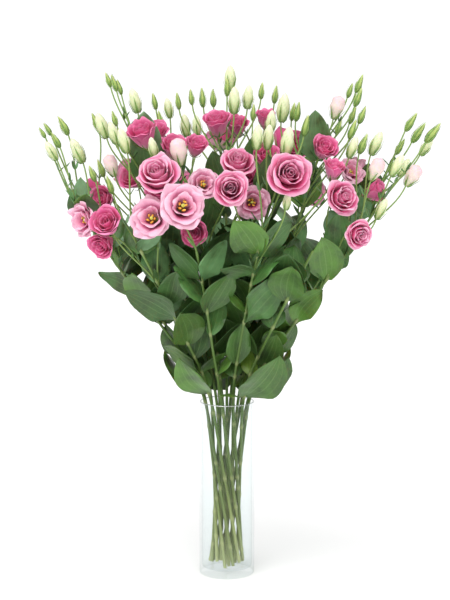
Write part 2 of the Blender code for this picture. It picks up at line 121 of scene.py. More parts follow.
# Buds: kind, then x, y, z of the middle and the length
BUDS = (
    ("tight", -260, -10, 640, 16),
    ("tight", -255, 10, 645, 20),
    ("tight", -240, -20, 630, 24),
    ("pale", -245, -30, 615, 30),
    ("tight", -235, 30, 650, 30),
    ("pale", -210, -20, 615, 38),
    ("tight", -170, 30, 715, 22),
    ("tight", -160, 10, 710, 24),
    ("tight", -155, 40, 705, 22),
    ("pale", -130, 0, 685, 36),
    ("tight", -105, 50, 685, 24),
    ("pale", -85, 60, 675, 30),
    ("tight", -70, 20, 685, 24),
    ("tight", -50, -10, 690, 22),
    ("tight", -35, 30, 690, 28),
    ("tight", -20, 60, 690, 26),
    ("pale", -175, -20, 650, 38),
    ("tight", -190, 45, 655, 28),
    ("tight", -155, -50, 660, 22),
    ("pale", -155, -70, 640, 32),
    ("pale", -140, -90, 630, 36),
    ("pale", -100, -90, 620, 30),
    ("pale", -60, 45, 650, 34),
    ("tight", -185, -65, 585, 24),
    ("tight", -180, 10, 590, 26),
    ("tight", -160, -80, 570, 26),
    ("blush", -160, -50, 595, 32),
    ("blush", -65, -105, 615, 38),
    ("pale", 5, 120, 720, 40),
    ("tight", 0, 45, 705, 26),
    ("pale", 10, -40, 685, 38),
    ("pale", 30, 0, 690, 34),
    ("tight", 50, 40, 700, 24),
    ("tight", 70, 50, 695, 26),
    ("pale", 80, 15, 675, 42),
    ("tight", 95, 40, 670, 26),
    ("tight", 100, 10, 670, 28),
    ("tight", 110, -30, 650, 30),
    ("tight", 125, 30, 655, 28),
    ("pale", 40, -135, 635, 34),
    ("pale", 55, -115, 635, 34),
    ("pale", 60, -60, 655, 32),
    ("pale", 80, -125, 630, 40),
    ("blush", 155, 0, 675, 34),
    ("tight", 175, 20, 700, 22),
    ("tight", 190, 40, 710, 28),
    ("tight", 185, 0, 690, 28),
    ("tight", 180, 30, 665, 26),
    ("tight", 190, -10, 665, 26),
    ("tight", 175, -30, 645, 28),
    ("pale", 175, -35, 620, 32),
    ("tight", 190, -30, 625, 30),
    ("pale", 210, -10, 625, 36),
    ("blush", 205, -60, 590, 34),
    ("pale", 235, -50, 595, 34),
    ("tight", 260, 0, 655, 30),
    ("tight", 275, 30, 640, 34),
    ("tight", 290, -10, 640, 34),
    ("pale", 285, 20, 620, 30),
    ("tight", 250, 40, 620, 26),
    ("blush", 260, -25, 580, 34),
    ("pale", 255, 30, 590, 30),
    ("pale", 215, -45, 535, 32),
    ("pale", 80, -120, 550, 26),
    ("tight", -100, 120, 660, 26),
    ("pale", -45, 115, 650, 32),
    ("tight", 40, 150, 670, 26),
    ("pale", 130, 100, 650, 30),
    ("tight", 165, 85, 650, 26),
    ("tight", -170, 80, 640, 28),
)

# The leaves whose places matter most: stem, height, azimuth, rise at the foot, rise at the tip,
# roll, length and width
FRONT_LEAVES = (
    (16, 480, -135, 55, 35, -40, 66, 44),
    (16, 476, -10, 50, 25, 60, 72, 46),
    (16, 380, -28, 58, 30, 55, 96, 58),
    (17, 266, -42, 25, 66, 25, 96, 54),
    (14, 270, -140, 30, 64, -15, 80, 44),
    (18, 270, -12, 25, 60, 20, 84, 44),
    (15, 440, -155, 58, 34, -50, 70, 38),
    (15, 440, -25, 70, 46, 45, 66, 34),
    (14, 382, -165, 42, 16, -50, 84, 42),
    (14, 300, -157, 45, 18, -45, 72, 38),
    (16, 318, -85, 84, 66, 0, 62, 32),
    (18, 310, -25, 40, 62, 20, 76, 40),
    (16, 450, -150, 30, -10, -30, 55, 34),
    (12, 406, -163, 40, 14, -45, 78, 34),
    (18, 374, -15, 50, 26, 50, 82, 32),
    (16, 268, -130, 30, -10, 0, 40, 24),
    (17, 420, -55, 55, 40, 25, 80, 48),
    (15, 395, -60, 60, 45, 15, 76, 42),
    (14, 345, -140, 50, 30, -40, 80, 44),
    (7, 270, 16, 28, 62, 0, 84, 46),
    (8, 266, 46, 28, 64, 0, 88, 48),
    (9, 272, 76, 28, 62, 0, 84, 46),
    (10, 266, 106, 28, 64, 0, 88, 46),
    (11, 272, 136, 28, 60, 0, 84, 46),
    (12, 266, 166, 28, 62, 0, 84, 44),
    (7, 320, -10, 35, 62, 15, 80, 42),
    (12, 318, 185, 35, 62, -15, 80, 42),
    (1, 600, -80, 60, 72, 0, 78, 40),
    (1, 535, 120, 55, 66, 0, 84, 42),
    (6, 545, -75, 60, 70, 0, 72, 38),
    (6, 515, -20, 55, 66, 20, 78, 40),
    (2, 570, -90, 60, 72, 0, 72, 36),
    (2, 540, -20, 58, 68, 20, 74, 36),
    (2, 540, 160, 58, 68, 0, 74, 36),
    (3, 570, -95, 60, 72, 0, 72, 36),
    (3, 540, -150, 58, 68, -20, 74, 38),
    (4, 600, -100, 60, 72, 0, 76, 40),
    (4, 570, -60, 58, 70, 0, 76, 40),
    (0, 550, -150, 60, 70, -20, 72, 36),
    (7, 540, -60, 55, 66, 20, 66, 34),
    (12, 520, -110, 55, 66, 0, 66, 34),
    (5, 505, -95, 60, 72, 0, 66, 34),
)

# Every stem's crossed pairs: their heights and lengths, then the turns, scales and lifts tried
LEAF_NODES = (268.0, 298.0, 332.0, 366.0, 402.0, 438.0, 474.0, 510.0, 546.0, 578.0,
              606.0)
LEAF_LENGTHS = (56.0, 66.0, 78.0, 84.0, 84.0, 78.0, 70.0, 60.0, 50.0,
                46.0, 42.0)
LEAF_TURNS = (0.0, 20.0, -20.0, 42.0, -42.0, 66.0, -66.0)
LEAF_SCALES = (1.0, 0.84, 0.7, 0.56)
LEAF_LIFTS = (0.0, 14.0)


def heading(azimuth: float, rise: float) -> Vector:
    """Unit vector from a plan angle and a rise above the level.

    Args:
        azimuth: Plan angle from +X, degrees.
        rise: Angle above the level, degrees.

    Returns:
        The unit vector.
    """
    a, e = math.radians(azimuth), math.radians(rise)
    return Vector((math.cos(a) * math.cos(e), math.sin(a) * math.cos(e), math.sin(e)))


def eased(value: float) -> float:
    """A smooth step from 0 to 1."""
    value = min(1.0, max(0.0, value))
    return value * value * (3.0 - 2.0 * value)


def blended(stations: Sequence[tuple[float, float]], at: float) -> float:
    """A value eased between stations.

    Args:
        stations: (place, value) pairs in rising order of place.
        at: Where to read.

    Returns:
        The value there.
    """
    for (low, first), (high, second) in zip(stations, stations[1:]):
        if at <= high:
            return first + (second - first) * eased((at - low) / (high - low))
    return stations[-1][1]


def plain(a: float, b: float) -> tuple[float, float, float]:
    """Finish numbers of a plain piece, which change only along it."""
    return a, 0.0, 0.0


def cubic(points: Sequence[Vector], t: float) -> Vector:
    """A point of a cubic curve.

    Args:
        points: Its four control points.
        t: Share along it.

    Returns:
        The point.
    """
    s = 1.0 - t
    a, b, c, d = points
    return a * s ** 3 + b * 3 * s * s * t + c * 3 * s * t * t + d * t ** 3


def colour(red: int, green: int, blue: int) -> Colour:
    """A linear colour.

    Args:
        red: Screen value of 0 to 255.
        green: The same for green.
        blue: The same for blue.

    Returns:
        The three linear values, 0 to 1.
    """
    def linear(value: float) -> float:
        """One channel."""
        return value / 12.92 if value <= 0.04045 else ((value + 0.055) / 1.055) ** 2.4
    return linear(red / 255), linear(green / 255), linear(blue / 255)


@dataclass(frozen=True)
class StemFan:
    """How the stems turn and narrow inside the vase and fan out above it, in mm."""

    foot_turn: complex = 0.85 * cmath.exp(1j * math.radians(100.0))
    vase_height: float = 255.0
    bend_low: float = 235.0
    bend_high: float = 330.0
    fan_x: float = 0.0225
    fan_y: float = 0.0150
    sway: float = 4.0
    sway_length: float = 260.0
    foot: float = 10.9
    rings: tuple[tuple[int, float, float], ...] = ((1, 0.0, 0.0), (6, 15.0, 10.0), (12, 30.5, 16.0))

    def plan(self, c: complex, z: float) -> complex:
        """Where a stem line is in plan.

        Args:
            c: The line's place in the plane of the rim.
            z: Height.

        Returns:
            The plan place at that height.
        """
        slope = (1.0 - self.foot_turn) / self.vase_height
        place = c * (self.foot_turn + slope * min(z, self.bend_low))
        if z <= self.bend_low:
            return place
        fan = complex(self.fan_x * c.real, self.fan_y * c.imag)
        climb = min(z, self.bend_high) - self.bend_low
        turn = climb * climb / (2.0 * (self.bend_high - self.bend_low))
        place += c * slope * (climb - turn) + fan * turn
        return place + fan * max(0.0, z - self.bend_high)

    def line_through(self, point: Vector) -> complex:
        """Find the stem line that passes through a point.

        Args:
            point: The point.

        Returns:
            The line's rim place.
        """
        a, b = self.plan(1.0 + 0j, point.z), self.plan(1j, point.z)
        det = a.real * b.imag - b.real * a.imag
        x, y = point.x, point.y
        return complex((x * b.imag - b.real * y) / det, (a.real * y - x * a.imag) / det)

    def lines(self) -> list[complex]:
        """The rim places of all stems: one in the middle and two rings about it."""
        chance = random.Random(11)
        lines = []
        for count, radius, start in self.rings:
            for i in range(count):
                c = radius * cmath.exp(1j * math.radians(start + 360.0 * i / count))
                lines.append(c + complex(chance.uniform(-1, 1), chance.uniform(-1, 1)))
        return lines

    def stalk_point(self, c: complex, z: float) -> Vector:
        """A point of a stalk's middle line, swaying a little above the rim.

        Args:
            c: Rim place of the stem line.
            z: Height.

        Returns:
            The point.
        """
        p = self.plan(c, z)
        if z > self.bend_high:
            phase = cmath.phase(c + 0.1) * 3.0
            sway = self.sway * math.sin(math.pi * (z - self.bend_high) / self.sway_length)
            p += sway * cmath.exp(1j * phase)
        return Vector((p.real, p.imag, z))


@dataclass(frozen=True)
class Head:
    """One bloom or bud at the end of its own branch, in mm."""

    kind: Bloom | BudKind
    axis: Vector
    base: Vector
    size: float
    stem: int
    number: int
    depth: float

    LOWEST_FORK = 275.0
    FORK_DROP = 46.0
    FORK_SPREAD = 1.15
    BLOOM_COLLAR = 3.0
    LONGEST_BEND = 34.0

    def branch(self, fan: StemFan, line: complex) -> list[Vector]:
        """Control points of the branch from its fork on the stalk to the head.

        Args:
            fan: The fan of stems.
            line: Rim place of the head's own stem.

        Returns:
            Four control points of a cubic curve.
        """
        aside = (fan.stalk_point(line, self.base.z) - self.base).length
        fork = max(self.LOWEST_FORK, self.base.z - self.FORK_DROP - self.FORK_SPREAD * aside)
        start = fan.stalk_point(line, fork)
        reach = (self.base - start).length
        climb = (fan.stalk_point(line, fork + 10.0) - start).normalized()
        out = (self.base - start).normalized()
        first = start + (climb * 0.55 + out * 0.45).normalized() * reach * 0.36
        collar = self.base
        if isinstance(self.kind, Bloom):
            collar = self.base - self.axis * self.BLOOM_COLLAR
        bend = (self.axis * 0.8 + Vector((0.0, 0.0, 0.35))).normalized()
        last = collar - bend * min(reach * 0.33, self.LONGEST_BEND)
        return [start, first, last, collar]


@dataclass
class Layout:
    """Where every stem, bloom and bud of the bunch is, in mm and degrees."""

    fan: StemFan = StemFan()
    least_lean: float = 4.0
    more_lean: float = 34.0
    lean_reach: float = 290.0
    lowest_top: float = 480.0
    lines: list[complex] = field(init=False)
    heads: list[Head] = field(default_factory=list)

    DEPTHS = {Bloom.OPEN: 1.25, Bloom.ROSE: 1.45, Bloom.CUP: 1.75}

    def __post_init__(self) -> None:
        """Lay out the whole bunch."""
        self.lines = self.fan.lines()
        for number, (kind, x, y, z, azimuth, rise, radius) in enumerate(FLOWERS, 1):
            axis, depth = heading(azimuth, rise), self.DEPTHS[Bloom(kind)] * radius
            self._add(Bloom(kind), axis, Vector((x, y, z)) - axis * depth, radius, number, depth)
        for number, (kind, x, y, z, length) in enumerate(BUDS, 1):
            out = math.hypot(x, y)
            lean = math.radians(self.least_lean
                                + self.more_lean * (out / self.lean_reach) ** 1.5)
            axis = Vector((x / out * math.sin(lean), y / out * math.sin(lean), math.cos(lean)))
            base = Vector((x, y, z)) - axis * (length * 0.5)
            self._add(BudKind(kind), axis, base, length, number, length)

    def _add(self, kind: Bloom | BudKind, axis: Vector, base: Vector, size: float, number: int,
             depth: float) -> None:
        """Give a head to the stem whose line passes nearest to its base.

        Args:
            kind: What the head is.
            axis: The way it faces.
            base: Where it sits on its branch.
            size: Radius of a bloom or length of a bud.
            number: Its number among the blooms or the buds.
            depth: Its length along the axis.
        """
        c = self.fan.line_through(base)
        stem = min(range(len(self.lines)), key=lambda i: abs(self.lines[i] - c))
        self.heads.append(Head(kind, axis, base, size, stem, number, depth))

    def own(self, stem: int, kind: type) -> list[Head]:
        """The heads of one kind, blooms or buds, that a stem carries."""
        return [h for h in self.heads if h.stem == stem and isinstance(h.kind, kind)]

    def top(self, stem: int) -> float:
        """Height at which a stalk ends and its last branch begins."""
        forks = [h.branch(self.fan, self.lines[stem])[0].z for h in self.heads if h.stem == stem]
        return max(forks, default=self.lowest_top)


class Skin:
    """A mesh under construction in mm, with a map of its surface and its finish numbers."""

    SEAM = 0.004

    def __init__(self, name: str) -> None:
        """Start an empty mesh.

        Args:
            name: Name of the piece it becomes.
        """
        self.name = name
        self.mesh: BMesh = bmesh.new()
        self.tint = self.mesh.verts.layers.float_color.new("tint")
        self.map = self.mesh.loops.layers.uv.new("surface")

    def sheet(self, along: int, across: int, place: Place, tint: Tint, slot: int = 0,
              closed: bool = False, thick: float = 0.0) -> None:
        """Lay a grid over a surface and close it or give it thickness.

        Args:
            along: Faces along the piece.
            across: Faces across it.
            place: Gives the point for a share along and a share across, both 0 to 1.
            tint: Gives three finish numbers for the same shares.
            slot: Material slot of the faces.
            closed: Join the two long edges and close both ends.
            thick: Thickness of an open sheet. Its second side has a last number of 1.
        """
        mesh, before = self.mesh, len(self.mesh.faces)
        verts = bmesh.ops.create_grid(mesh, x_segments=across, y_segments=along, size=0.5)["verts"]
        mesh.faces.ensure_lookup_table()
        faces = mesh.faces[before:]
        shares = {v: (v.co.y + 0.5, v.co.x + 0.5) for v in verts}
        for face in faces:
            face.smooth = True
            face.material_index = slot
            for loop in face.loops:
                a, b = shares[loop.vert]
                loop[self.map].uv = (b, a)
        for vert, (a, b) in shares.items():
            vert.co = place(a, b)
            vert[self.tint] = (*tint(a, b), 0.0)
        if closed:
            self._close(verts, slot)
        else:
            made = bmesh.ops.solidify(mesh, geom=faces, thickness=thick)["geom"]
            for vert in (item for item in made if isinstance(item, BMVert)):
                if vert not in shares:
                    vert[self.tint] = (*vert[self.tint][:3], 1.0)
        mesh.faces.ensure_lookup_table()
        bmesh.ops.recalc_face_normals(mesh, faces=mesh.faces[before:])

    def _close(self, verts: list[BMVert], slot: int) -> None:
        """Weld the long seam and the poles of a rolled sheet and cap its ends.

        Args:
            verts: The sheet's points.
            slot: Material slot of the caps.
        """
        bmesh.ops.remove_doubles(self.mesh, verts=verts, dist=self.SEAM)
        edges = dict.fromkeys(e for v in verts if v.is_valid for e in v.link_edges)
        rims = [e for e in edges if e.is_boundary]
        for face in bmesh.ops.holes_fill(self.mesh, edges=rims, sides=0)["faces"]:
            face.material_index = slot
            for loop in face.loops:
                loop[self.map].uv = (0.5, 1.0)

    def tube(self, points: Sequence[Vector], radii: Sequence[float], sides: int, tint: Tint,
             slot: int = 0) -> None:
        """Run a closed round tube through points.

        Args:
            points: The middle line.
            radii: Radius at each point.
            sides: Faces round the tube.
            tint: Finish numbers for a share along and a share round.
            slot: Material slot.
        """
        normal = Vector((1.0, 0.0, 0.0))
        rings = []
        for i, point in enumerate(points):
            along = (points[min(i + 1, len(points) - 1)] - points[max(i - 1, 0)]).normalized()
            normal = (normal - along * normal.dot(along)).normalized()
            rings.append((point, normal.copy(), along.cross(normal), radii[i]))
        last = len(points) - 1

        def place(a: float, b: float) -> Vector:
            """A point of the tube's wall."""
            point, side, other, radius = rings[round(a * last)]
            turn = 2.0 * math.pi * b
            return point + (side * math.cos(turn) + other * math.sin(turn)) * radius

        self.sheet(last, sides, place, tint, slot, closed=True)

    def finish(self, materials: Sequence[Material], slot: str, nodes: Iterable[str],
               sharp: float = 60.0) -> Object:
        """Turn the mesh into a finished piece of the model.

        Args:
            materials: Its materials, in slot order.
            slot: The record's finish slot of the piece; not used.
            nodes: The solids it stands for.
            sharp: Edges over this angle stay crisp, degrees.

        Returns:
            The object.
        """
        bmesh.ops.scale(self.mesh, vec=(MM, MM, MM), verts=self.mesh.verts)
        data: Mesh = bpy.data.meshes.new(self.name)
        self.mesh.to_mesh(data)
        self.mesh.free()
        for material in materials:
            data.materials.append(material)
        data.set_sharp_from_angle(angle=math.radians(sharp))
        piece = bpy.data.objects.new(self.name, data)
        bpy.context.scene.collection.objects.link(piece)
        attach(piece, "root")
        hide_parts(*nodes)
        log.info("%s: %d faces", self.name, len(data.polygons))
        return piece


class Shade:
    """Builds the nodes of one material about its Principled shader."""

    def __init__(self, name: str, **values: float) -> None:
        """Start a material.

        Args:
            name: Its name.
            values: Principled sockets to set, with underscores for spaces.
        """
        self.material: Material = bpy.data.materials.new(name)
        self.material.use_nodes = True
        self.tree = self.material.node_tree
        self.shader = self.tree.nodes["Principled BSDF"]
        for key, value in values.items():
            self.shader.inputs[key.replace("_", " ")].default_value = value

    def join(self, source: NodeSocket | float | Colour, target: NodeSocket) -> None:
        """Feed a socket from another socket, or set it to a number or a colour.

        Args:
            source: Where the value comes from.
            target: The socket to feed.
        """
        if isinstance(source, NodeSocket):
            self.tree.links.new(source, target)
        elif isinstance(source, tuple) and target.type == "RGBA":
            target.default_value = (*source, 1.0)
        else:
            target.default_value = source

    def number(self, operation: str, first: NodeSocket | float,
               second: NodeSocket | float = 0.0, clamp: bool = True) -> NodeSocket:
        """Work out a number.

        Args:
            operation: Name of the Math node's operation.
            first: Its first input.
            second: Its second input.
            clamp: Keep the result between 0 and 1.

        Returns:
            The result.
        """
        node = self.tree.nodes.new("ShaderNodeMath")
        node.operation, node.use_clamp = operation, clamp
        self.join(first, node.inputs[0])
        self.join(second, node.inputs[1])
        return node.outputs[0]

    def mix(self, share: NodeSocket | float, first: NodeSocket | Colour,
            second: NodeSocket | Colour) -> NodeSocket:
        """A mix of two colours.

        Args:
            share: How much of the second there is.
            first: The first colour.
            second: The second colour.

        Returns:
            The mixed colour.
        """
        node = self.tree.nodes.new("ShaderNodeMix")
        node.data_type = "RGBA"
        self.join(share, node.inputs[0])
        self.join(first, node.inputs[6])
        self.join(second, node.inputs[7])
        return node.outputs[2]

    def ramp(self, share: NodeSocket, stops: Sequence[tuple[float, Colour]]) -> NodeSocket:
        """A colour read from stops along a share.

        Args:
            share: Where to read.
            stops: (place, colour) pairs in rising order of place.

        Returns:
            The colour.
        """
        node = self.tree.nodes.new("ShaderNodeValToRGB")
        elements = node.color_ramp.elements
        elements[0].position, elements[0].color = stops[0][0], (*stops[0][1], 1.0)
        elements[1].position, elements[1].color = stops[-1][0], (*stops[-1][1], 1.0)
        for place, shade in stops[1:-1]:
            elements.new(place).color = (*shade, 1.0)
        self.join(share, node.inputs[0])
        return node.outputs[0]

    def numbers(self) -> dict[str, NodeSocket]:
        """The four finish numbers of the mesh as sockets called along, edge, tone and side."""
        node = self.tree.nodes.new("ShaderNodeAttribute")
        node.attribute_name = "tint"
        parts = self.tree.nodes.new("ShaderNodeSeparateColor")
        self.join(node.outputs["Color"], parts.inputs[0])
        along, edge, tone = parts.outputs
        return {"along": along, "edge": edge, "tone": tone, "side": node.outputs["Alpha"]}

    def noise(self, source: str, scale: Colour, detail: float = 2.0) -> NodeSocket:
        """A noise pattern.

        Args:
            source: "UV" for the surface map or "Object".
            scale: Stretch of the pattern along each axis.
            detail: Layers of finer noise.

        Returns:
            The pattern's value.
        """
        place = self.tree.nodes.new("ShaderNodeTexCoord")
        stretch = self.tree.nodes.new("ShaderNodeMapping")
        stretch.inputs["Scale"].default_value = scale
        self.join(place.outputs[source], stretch.inputs[0])
        pattern = self.tree.nodes.new("ShaderNodeTexNoise")
        pattern.inputs["Scale"].default_value = 1.0
        pattern.inputs["Detail"].default_value = detail
        self.join(stretch.outputs[0], pattern.inputs["Vector"])
        return pattern.outputs[0]

    def bump(self, height: NodeSocket, distance: float, strength: float = 0.5) -> None:
        """Raise the surface by a pattern.

        Args:
            height: The pattern.
            distance: Height of the raised parts, m.
            strength: Share of it that shows.
        """
        node = self.tree.nodes.new("ShaderNodeBump")
        node.inputs["Strength"].default_value = strength
        node.inputs["Distance"].default_value = distance
        self.join(height, node.inputs["Height"])
        self.join(node.outputs[0], self.shader.inputs["Normal"])


@dataclass(frozen=True)
class PetalFinish:
    """Satin petals, coloured from the foot to the rim and streaked lengthwise; the inner ramps
    carry painted shade deep at the foot.
    """

    name: str
    inner: tuple[tuple[float, Colour], ...]
    outer: tuple[tuple[float, Colour], ...]
    deep: Colour = colour(200, 14, 106)
    pale: Colour = colour(254, 212, 232)

    def material(self) -> Material:
        """Make the material."""
        s = Shade(self.name, Roughness=0.5, Sheen_Weight=0.12, Sheen_Roughness=0.4,
                  Subsurface_Weight=0.12, Subsurface_Scale=0.003, Specular_IOR_Level=0.3)
        s.shader.inputs["Subsurface Radius"].default_value = (1.0, 0.5, 0.6)
        n = s.numbers()
        streaks = s.noise("UV", (46.0, 2.2, 1.0), 3.0)
        clouds = s.noise("Object", (70.0, 70.0, 70.0), 1.0)
        # The inner ramp carries painted shade: dark and saturated at the petal foot, deep in the
        # bloom.
        inner, outer = s.ramp(n["along"], self.inner), s.ramp(n["along"], self.outer)
        base = s.mix(n["side"], inner, outer)
        streaked = s.mix(s.number("MULTIPLY", streaks, 0.36), base, self.deep)
        lit = s.mix(s.number("MULTIPLY", clouds, 0.25), streaked, self.pale)
        rim = s.number("MULTIPLY", s.number("POWER", n["edge"], 6.0), 0.35)
        rimmed = s.mix(s.number("MULTIPLY", rim, n["along"]), lit, self.pale)
        toned = s.mix(n["tone"], rimmed, self.deep)
        s.join(toned, s.shader.inputs["Base Color"])
        s.bump(streaks, 0.0006, 0.35)
        return s.material


@dataclass(frozen=True)
class LeafFinish:
    """Waxy blades from olive to grey-green, darkened in patches by painted shade, with a pale
    midrib and paler undersides.
    """

    name: str = "leaf_blade"
    tones: tuple[tuple[float, Colour], ...] = (
        (0.0, colour(130, 166, 24)), (0.2, colour(30, 78, 8)), (0.4, colour(96, 150, 36)),
        (0.56, colour(20, 68, 16)), (0.74, colour(90, 154, 74)), (1.0, colour(156, 204, 158)))
    # The near-black green of the painted shade patches.
    deep: Colour = colour(10, 36, 6)
    vein: Colour = colour(156, 190, 120)
    under: Colour = colour(104, 146, 88)
    veins: int = 3
    midrib: float = 0.24
    fade: float = 0.22

    def material(self) -> Material:
        """Make the material."""
        s = Shade(self.name, Roughness=0.36, Specular_IOR_Level=0.42, Subsurface_Weight=0.04,
                  Subsurface_Scale=0.002)
        n = s.numbers()
        clouds = s.noise("Object", (30.0, 30.0, 30.0), 3.0)
        grain = s.noise("UV", (26.0, 20.0, 1.0), 4.0)
        # Painted shade: the cloud pattern darkens the blades in patches towards the deep green.
        shade = s.number("MULTIPLY", s.number("POWER", clouds, 2.5), 2.7)
        shaded = s.mix(shade, s.ramp(n["tone"], self.tones), self.deep)
        mottled = s.mix(s.number("MULTIPLY", grain, 0.2), shaded, self.vein)
        turns = s.number("MULTIPLY", n["edge"], self.veins * math.pi, clamp=False)
        ridge = s.number("ABSOLUTE", s.number("COSINE", turns, clamp=False))
        veins = s.number("MULTIPLY", s.number("POWER", ridge, 34.0),
                         s.number("SUBTRACT", self.midrib,
                                  s.number("MULTIPLY", n["edge"], self.fade)))
        veined = s.mix(veins, mottled, self.vein)
        faces = s.mix(s.number("MULTIPLY", n["side"], 0.15), veined, self.under)
        s.join(faces, s.shader.inputs["Base Color"])
        s.bump(s.number("SUBTRACT", grain, veins), 0.0006, 0.5)
        return s.material


@dataclass(frozen=True)
class StemFinish:
    """Green stalks that pale towards the cut ends, each of its own green, with ridged skin."""

    name: str = "stem_skin"
    climb: tuple[tuple[float, Colour], ...] = (
        (0.0, colour(220, 220, 176)), (0.03, colour(186, 194, 142)), (0.1, colour(152, 164, 100)),
        (0.2, colour(112, 130, 66)), (0.32, colour(82, 116, 48)), (0.55, colour(92, 132, 58)),
        (0.85, colour(140, 174, 92)))
    cut: Colour = colour(206, 206, 150)
    fresh: Colour = colour(56, 92, 34)
    old: Colour = colour(96, 92, 44)

    def material(self) -> Material:
        """Make the material."""
        s = Shade(self.name, Roughness=0.45, Specular_IOR_Level=0.45)
        n = s.numbers()
        ridges = s.noise("UV", (12.0, 4.0, 1.0), 2.0)
        blotches = s.noise("Object", (60.0, 60.0, 25.0), 2.0)
        toned = s.mix(s.number("MULTIPLY", n["tone"], 0.55), s.ramp(n["along"], self.climb),
                      self.fresh)
        knuckle = s.mix(s.number("MULTIPLY", n["edge"], 0.35), toned, self.cut)
        mottled = s.mix(s.number("MULTIPLY", blotches, 0.35), knuckle, self.old)
        s.join(mottled, s.shader.inputs["Base Color"])
        s.bump(ridges, 0.0004, 0.4)
        return s.material


@dataclass(frozen=True)
class BudFinish:
    """Furled buds, green at the foot and cream or blush at the tip, with painted shade in green
    along the folds between the petals.
    """

    name: str
    stops: tuple[tuple[float, Colour], ...]

    def material(self) -> Material:
        """Make the material."""
        s = Shade(self.name, Roughness=0.48, Specular_IOR_Level=0.35, Sheen_Weight=0.08,
                  Subsurface_Weight=0.1, Subsurface_Scale=0.003)
        n = s.numbers()
        streaks = s.noise("UV", (26.0, 2.0, 1.0), 3.0)
        base = s.ramp(n["along"], self.stops)
        # Painted shade: the folds between the furled petals go towards the green of the foot.
        furled = s.mix(s.number("MULTIPLY", n["edge"], 0.5), base, self.stops[0][1])
        streaked = s.mix(s.number("MULTIPLY", streaks, 0.3), furled, self.stops[-1][1])
        s.join(streaked, s.shader.inputs["Base Color"])
        s.bump(streaks, 0.0004, 0.35)
        return s.material


@dataclass(frozen=True)
class PlainFinish:
    """A small part in one colour, clouded towards a second."""

    name: str
    first: Colour
    second: Colour
    roughness: float = 0.55

    def material(self) -> Material:
        """Make the material."""
        s = Shade(self.name, Roughness=self.roughness)
        clouds = s.noise("Object", (300.0, 300.0, 300.0), 3.0)
        s.join(s.ramp(clouds, ((0.35, self.first), (0.65, self.second))),
               s.shader.inputs["Base Color"])
        s.bump(clouds, 0.0005, 0.4)
        return s.material


@dataclass(frozen=True)
class GlassFinish:
    """Thin clear glass: see-through face on, mirroring its surroundings towards the edges."""

    name: str = "vase_glass"
    tint: Colour = colour(252, 254, 254)
    shine: float = 0.015
    edge_shine: float = 0.5
    blur: float = 0.02

    def material(self) -> Material:
        """Make the material."""
        s = Shade(self.name)
        nodes = s.tree.nodes
        clear, mirror = nodes.new("ShaderNodeBsdfTransparent"), nodes.new("ShaderNodeBsdfGlossy")
        both, edge = nodes.new("ShaderNodeMixShader"), nodes.new("ShaderNodeLayerWeight")
        edge_on = s.number("POWER", edge.outputs["Facing"], 3.0)
        share = s.number("ADD", s.number("MULTIPLY", edge_on, self.edge_shine), self.shine)
        s.join(self.tint, clear.inputs[0])
        s.join(self.blur, mirror.inputs["Roughness"])
        s.join(share, both.inputs[0])
        s.join(clear.outputs[0], both.inputs[1])
        s.join(mirror.outputs[0], both.inputs[2])
        s.join(both.outputs[0], nodes["Material Output"].inputs[0])
        nodes.remove(s.shader)
        return s.material


class Finishes:
    """Every material of the bunch, made once."""

    def __init__(self) -> None:
        """Make the materials."""
        # The throat, plum and magenta colours at the foot of the inner petals are painted shade,
        # standing for the dark, saturated bounced light deep in each bloom.
        throat_shade, plum_shade = colour(64, 10, 26), colour(140, 18, 62)
        green_white, blush = colour(214, 226, 176), colour(250, 208, 222)
        rose, magenta_shade = colour(246, 88, 160), colour(232, 40, 128)
        petals = {
            Bloom.OPEN: PetalFinish("petal_open", (
                (0.0, throat_shade), (0.3, throat_shade), (0.4, plum_shade), (0.5, colour(238, 112, 168)),
                (0.66, colour(252, 176, 208)), (1.0, colour(255, 222, 236))), (
                (0.0, green_white), (0.22, blush), (0.6, colour(250, 162, 202)),
                (1.0, colour(254, 206, 224)))),
            Bloom.ROSE: PetalFinish("petal_rose", (
                (0.0, magenta_shade), (0.5, magenta_shade), (0.7, colour(252, 96, 164)),
                (0.86, colour(254, 156, 200)), (1.0, colour(255, 216, 232))), (
                (0.0, green_white), (0.2, blush), (0.5, colour(252, 148, 196)),
                (0.88, colour(253, 158, 202)), (1.0, colour(255, 212, 228)))),
            Bloom.CUP: PetalFinish("petal_cup", (
                (0.0, magenta_shade), (0.55, magenta_shade), (0.8, rose), (1.0, colour(252, 144, 192))), (
                (0.0, green_white), (0.2, colour(250, 210, 218)), (0.42, colour(248, 134, 184)),
                (0.75, colour(242, 86, 158)), (1.0, colour(250, 128, 182))))}
        buds = {
            BudKind.TIGHT: BudFinish("bud_tight", (
                (0.0, colour(116, 156, 70)), (0.5, colour(166, 188, 98)),
                (1.0, colour(202, 212, 136)))),
            BudKind.PALE: BudFinish("bud_pale", (
                (0.0, colour(150, 184, 96)), (0.35, colour(208, 218, 158)),
                (1.0, colour(240, 240, 212)))),
            BudKind.BLUSH: BudFinish("bud_blush", (
                (0.0, colour(188, 206, 138)), (0.35, colour(240, 226, 214)),
                (1.0, colour(244, 196, 212))))}
        self.petals = {kind: finish.material() for kind, finish in petals.items()}
        self.buds = {kind: finish.material() for kind, finish in buds.items()}
        self.stem = StemFinish().material()
        self.leaf = LeafFinish().material()
        self.sepal = PlainFinish("sepal", colour(92, 132, 58), colour(134, 168, 84)).material()
        self.anther = PlainFinish("anther", colour(222, 150, 30), colour(246, 206, 84)).material()
        self.stigma = PlainFinish("stigma", colour(180, 190, 60), colour(224, 222, 110)).material()
        self.glass = GlassFinish().material()
        self.rim = GlassFinish("vase_rim", shine=0.5).material()


@dataclass(frozen=True)
class PetalRing:
    """One whorl of petals, its sizes in shares of the bloom's radius or depth."""

    count: int
    turn: float
    spread: float
    rise: float
    belly: float
    width: float
    curl: float
    wrap: float
    ruffle: float


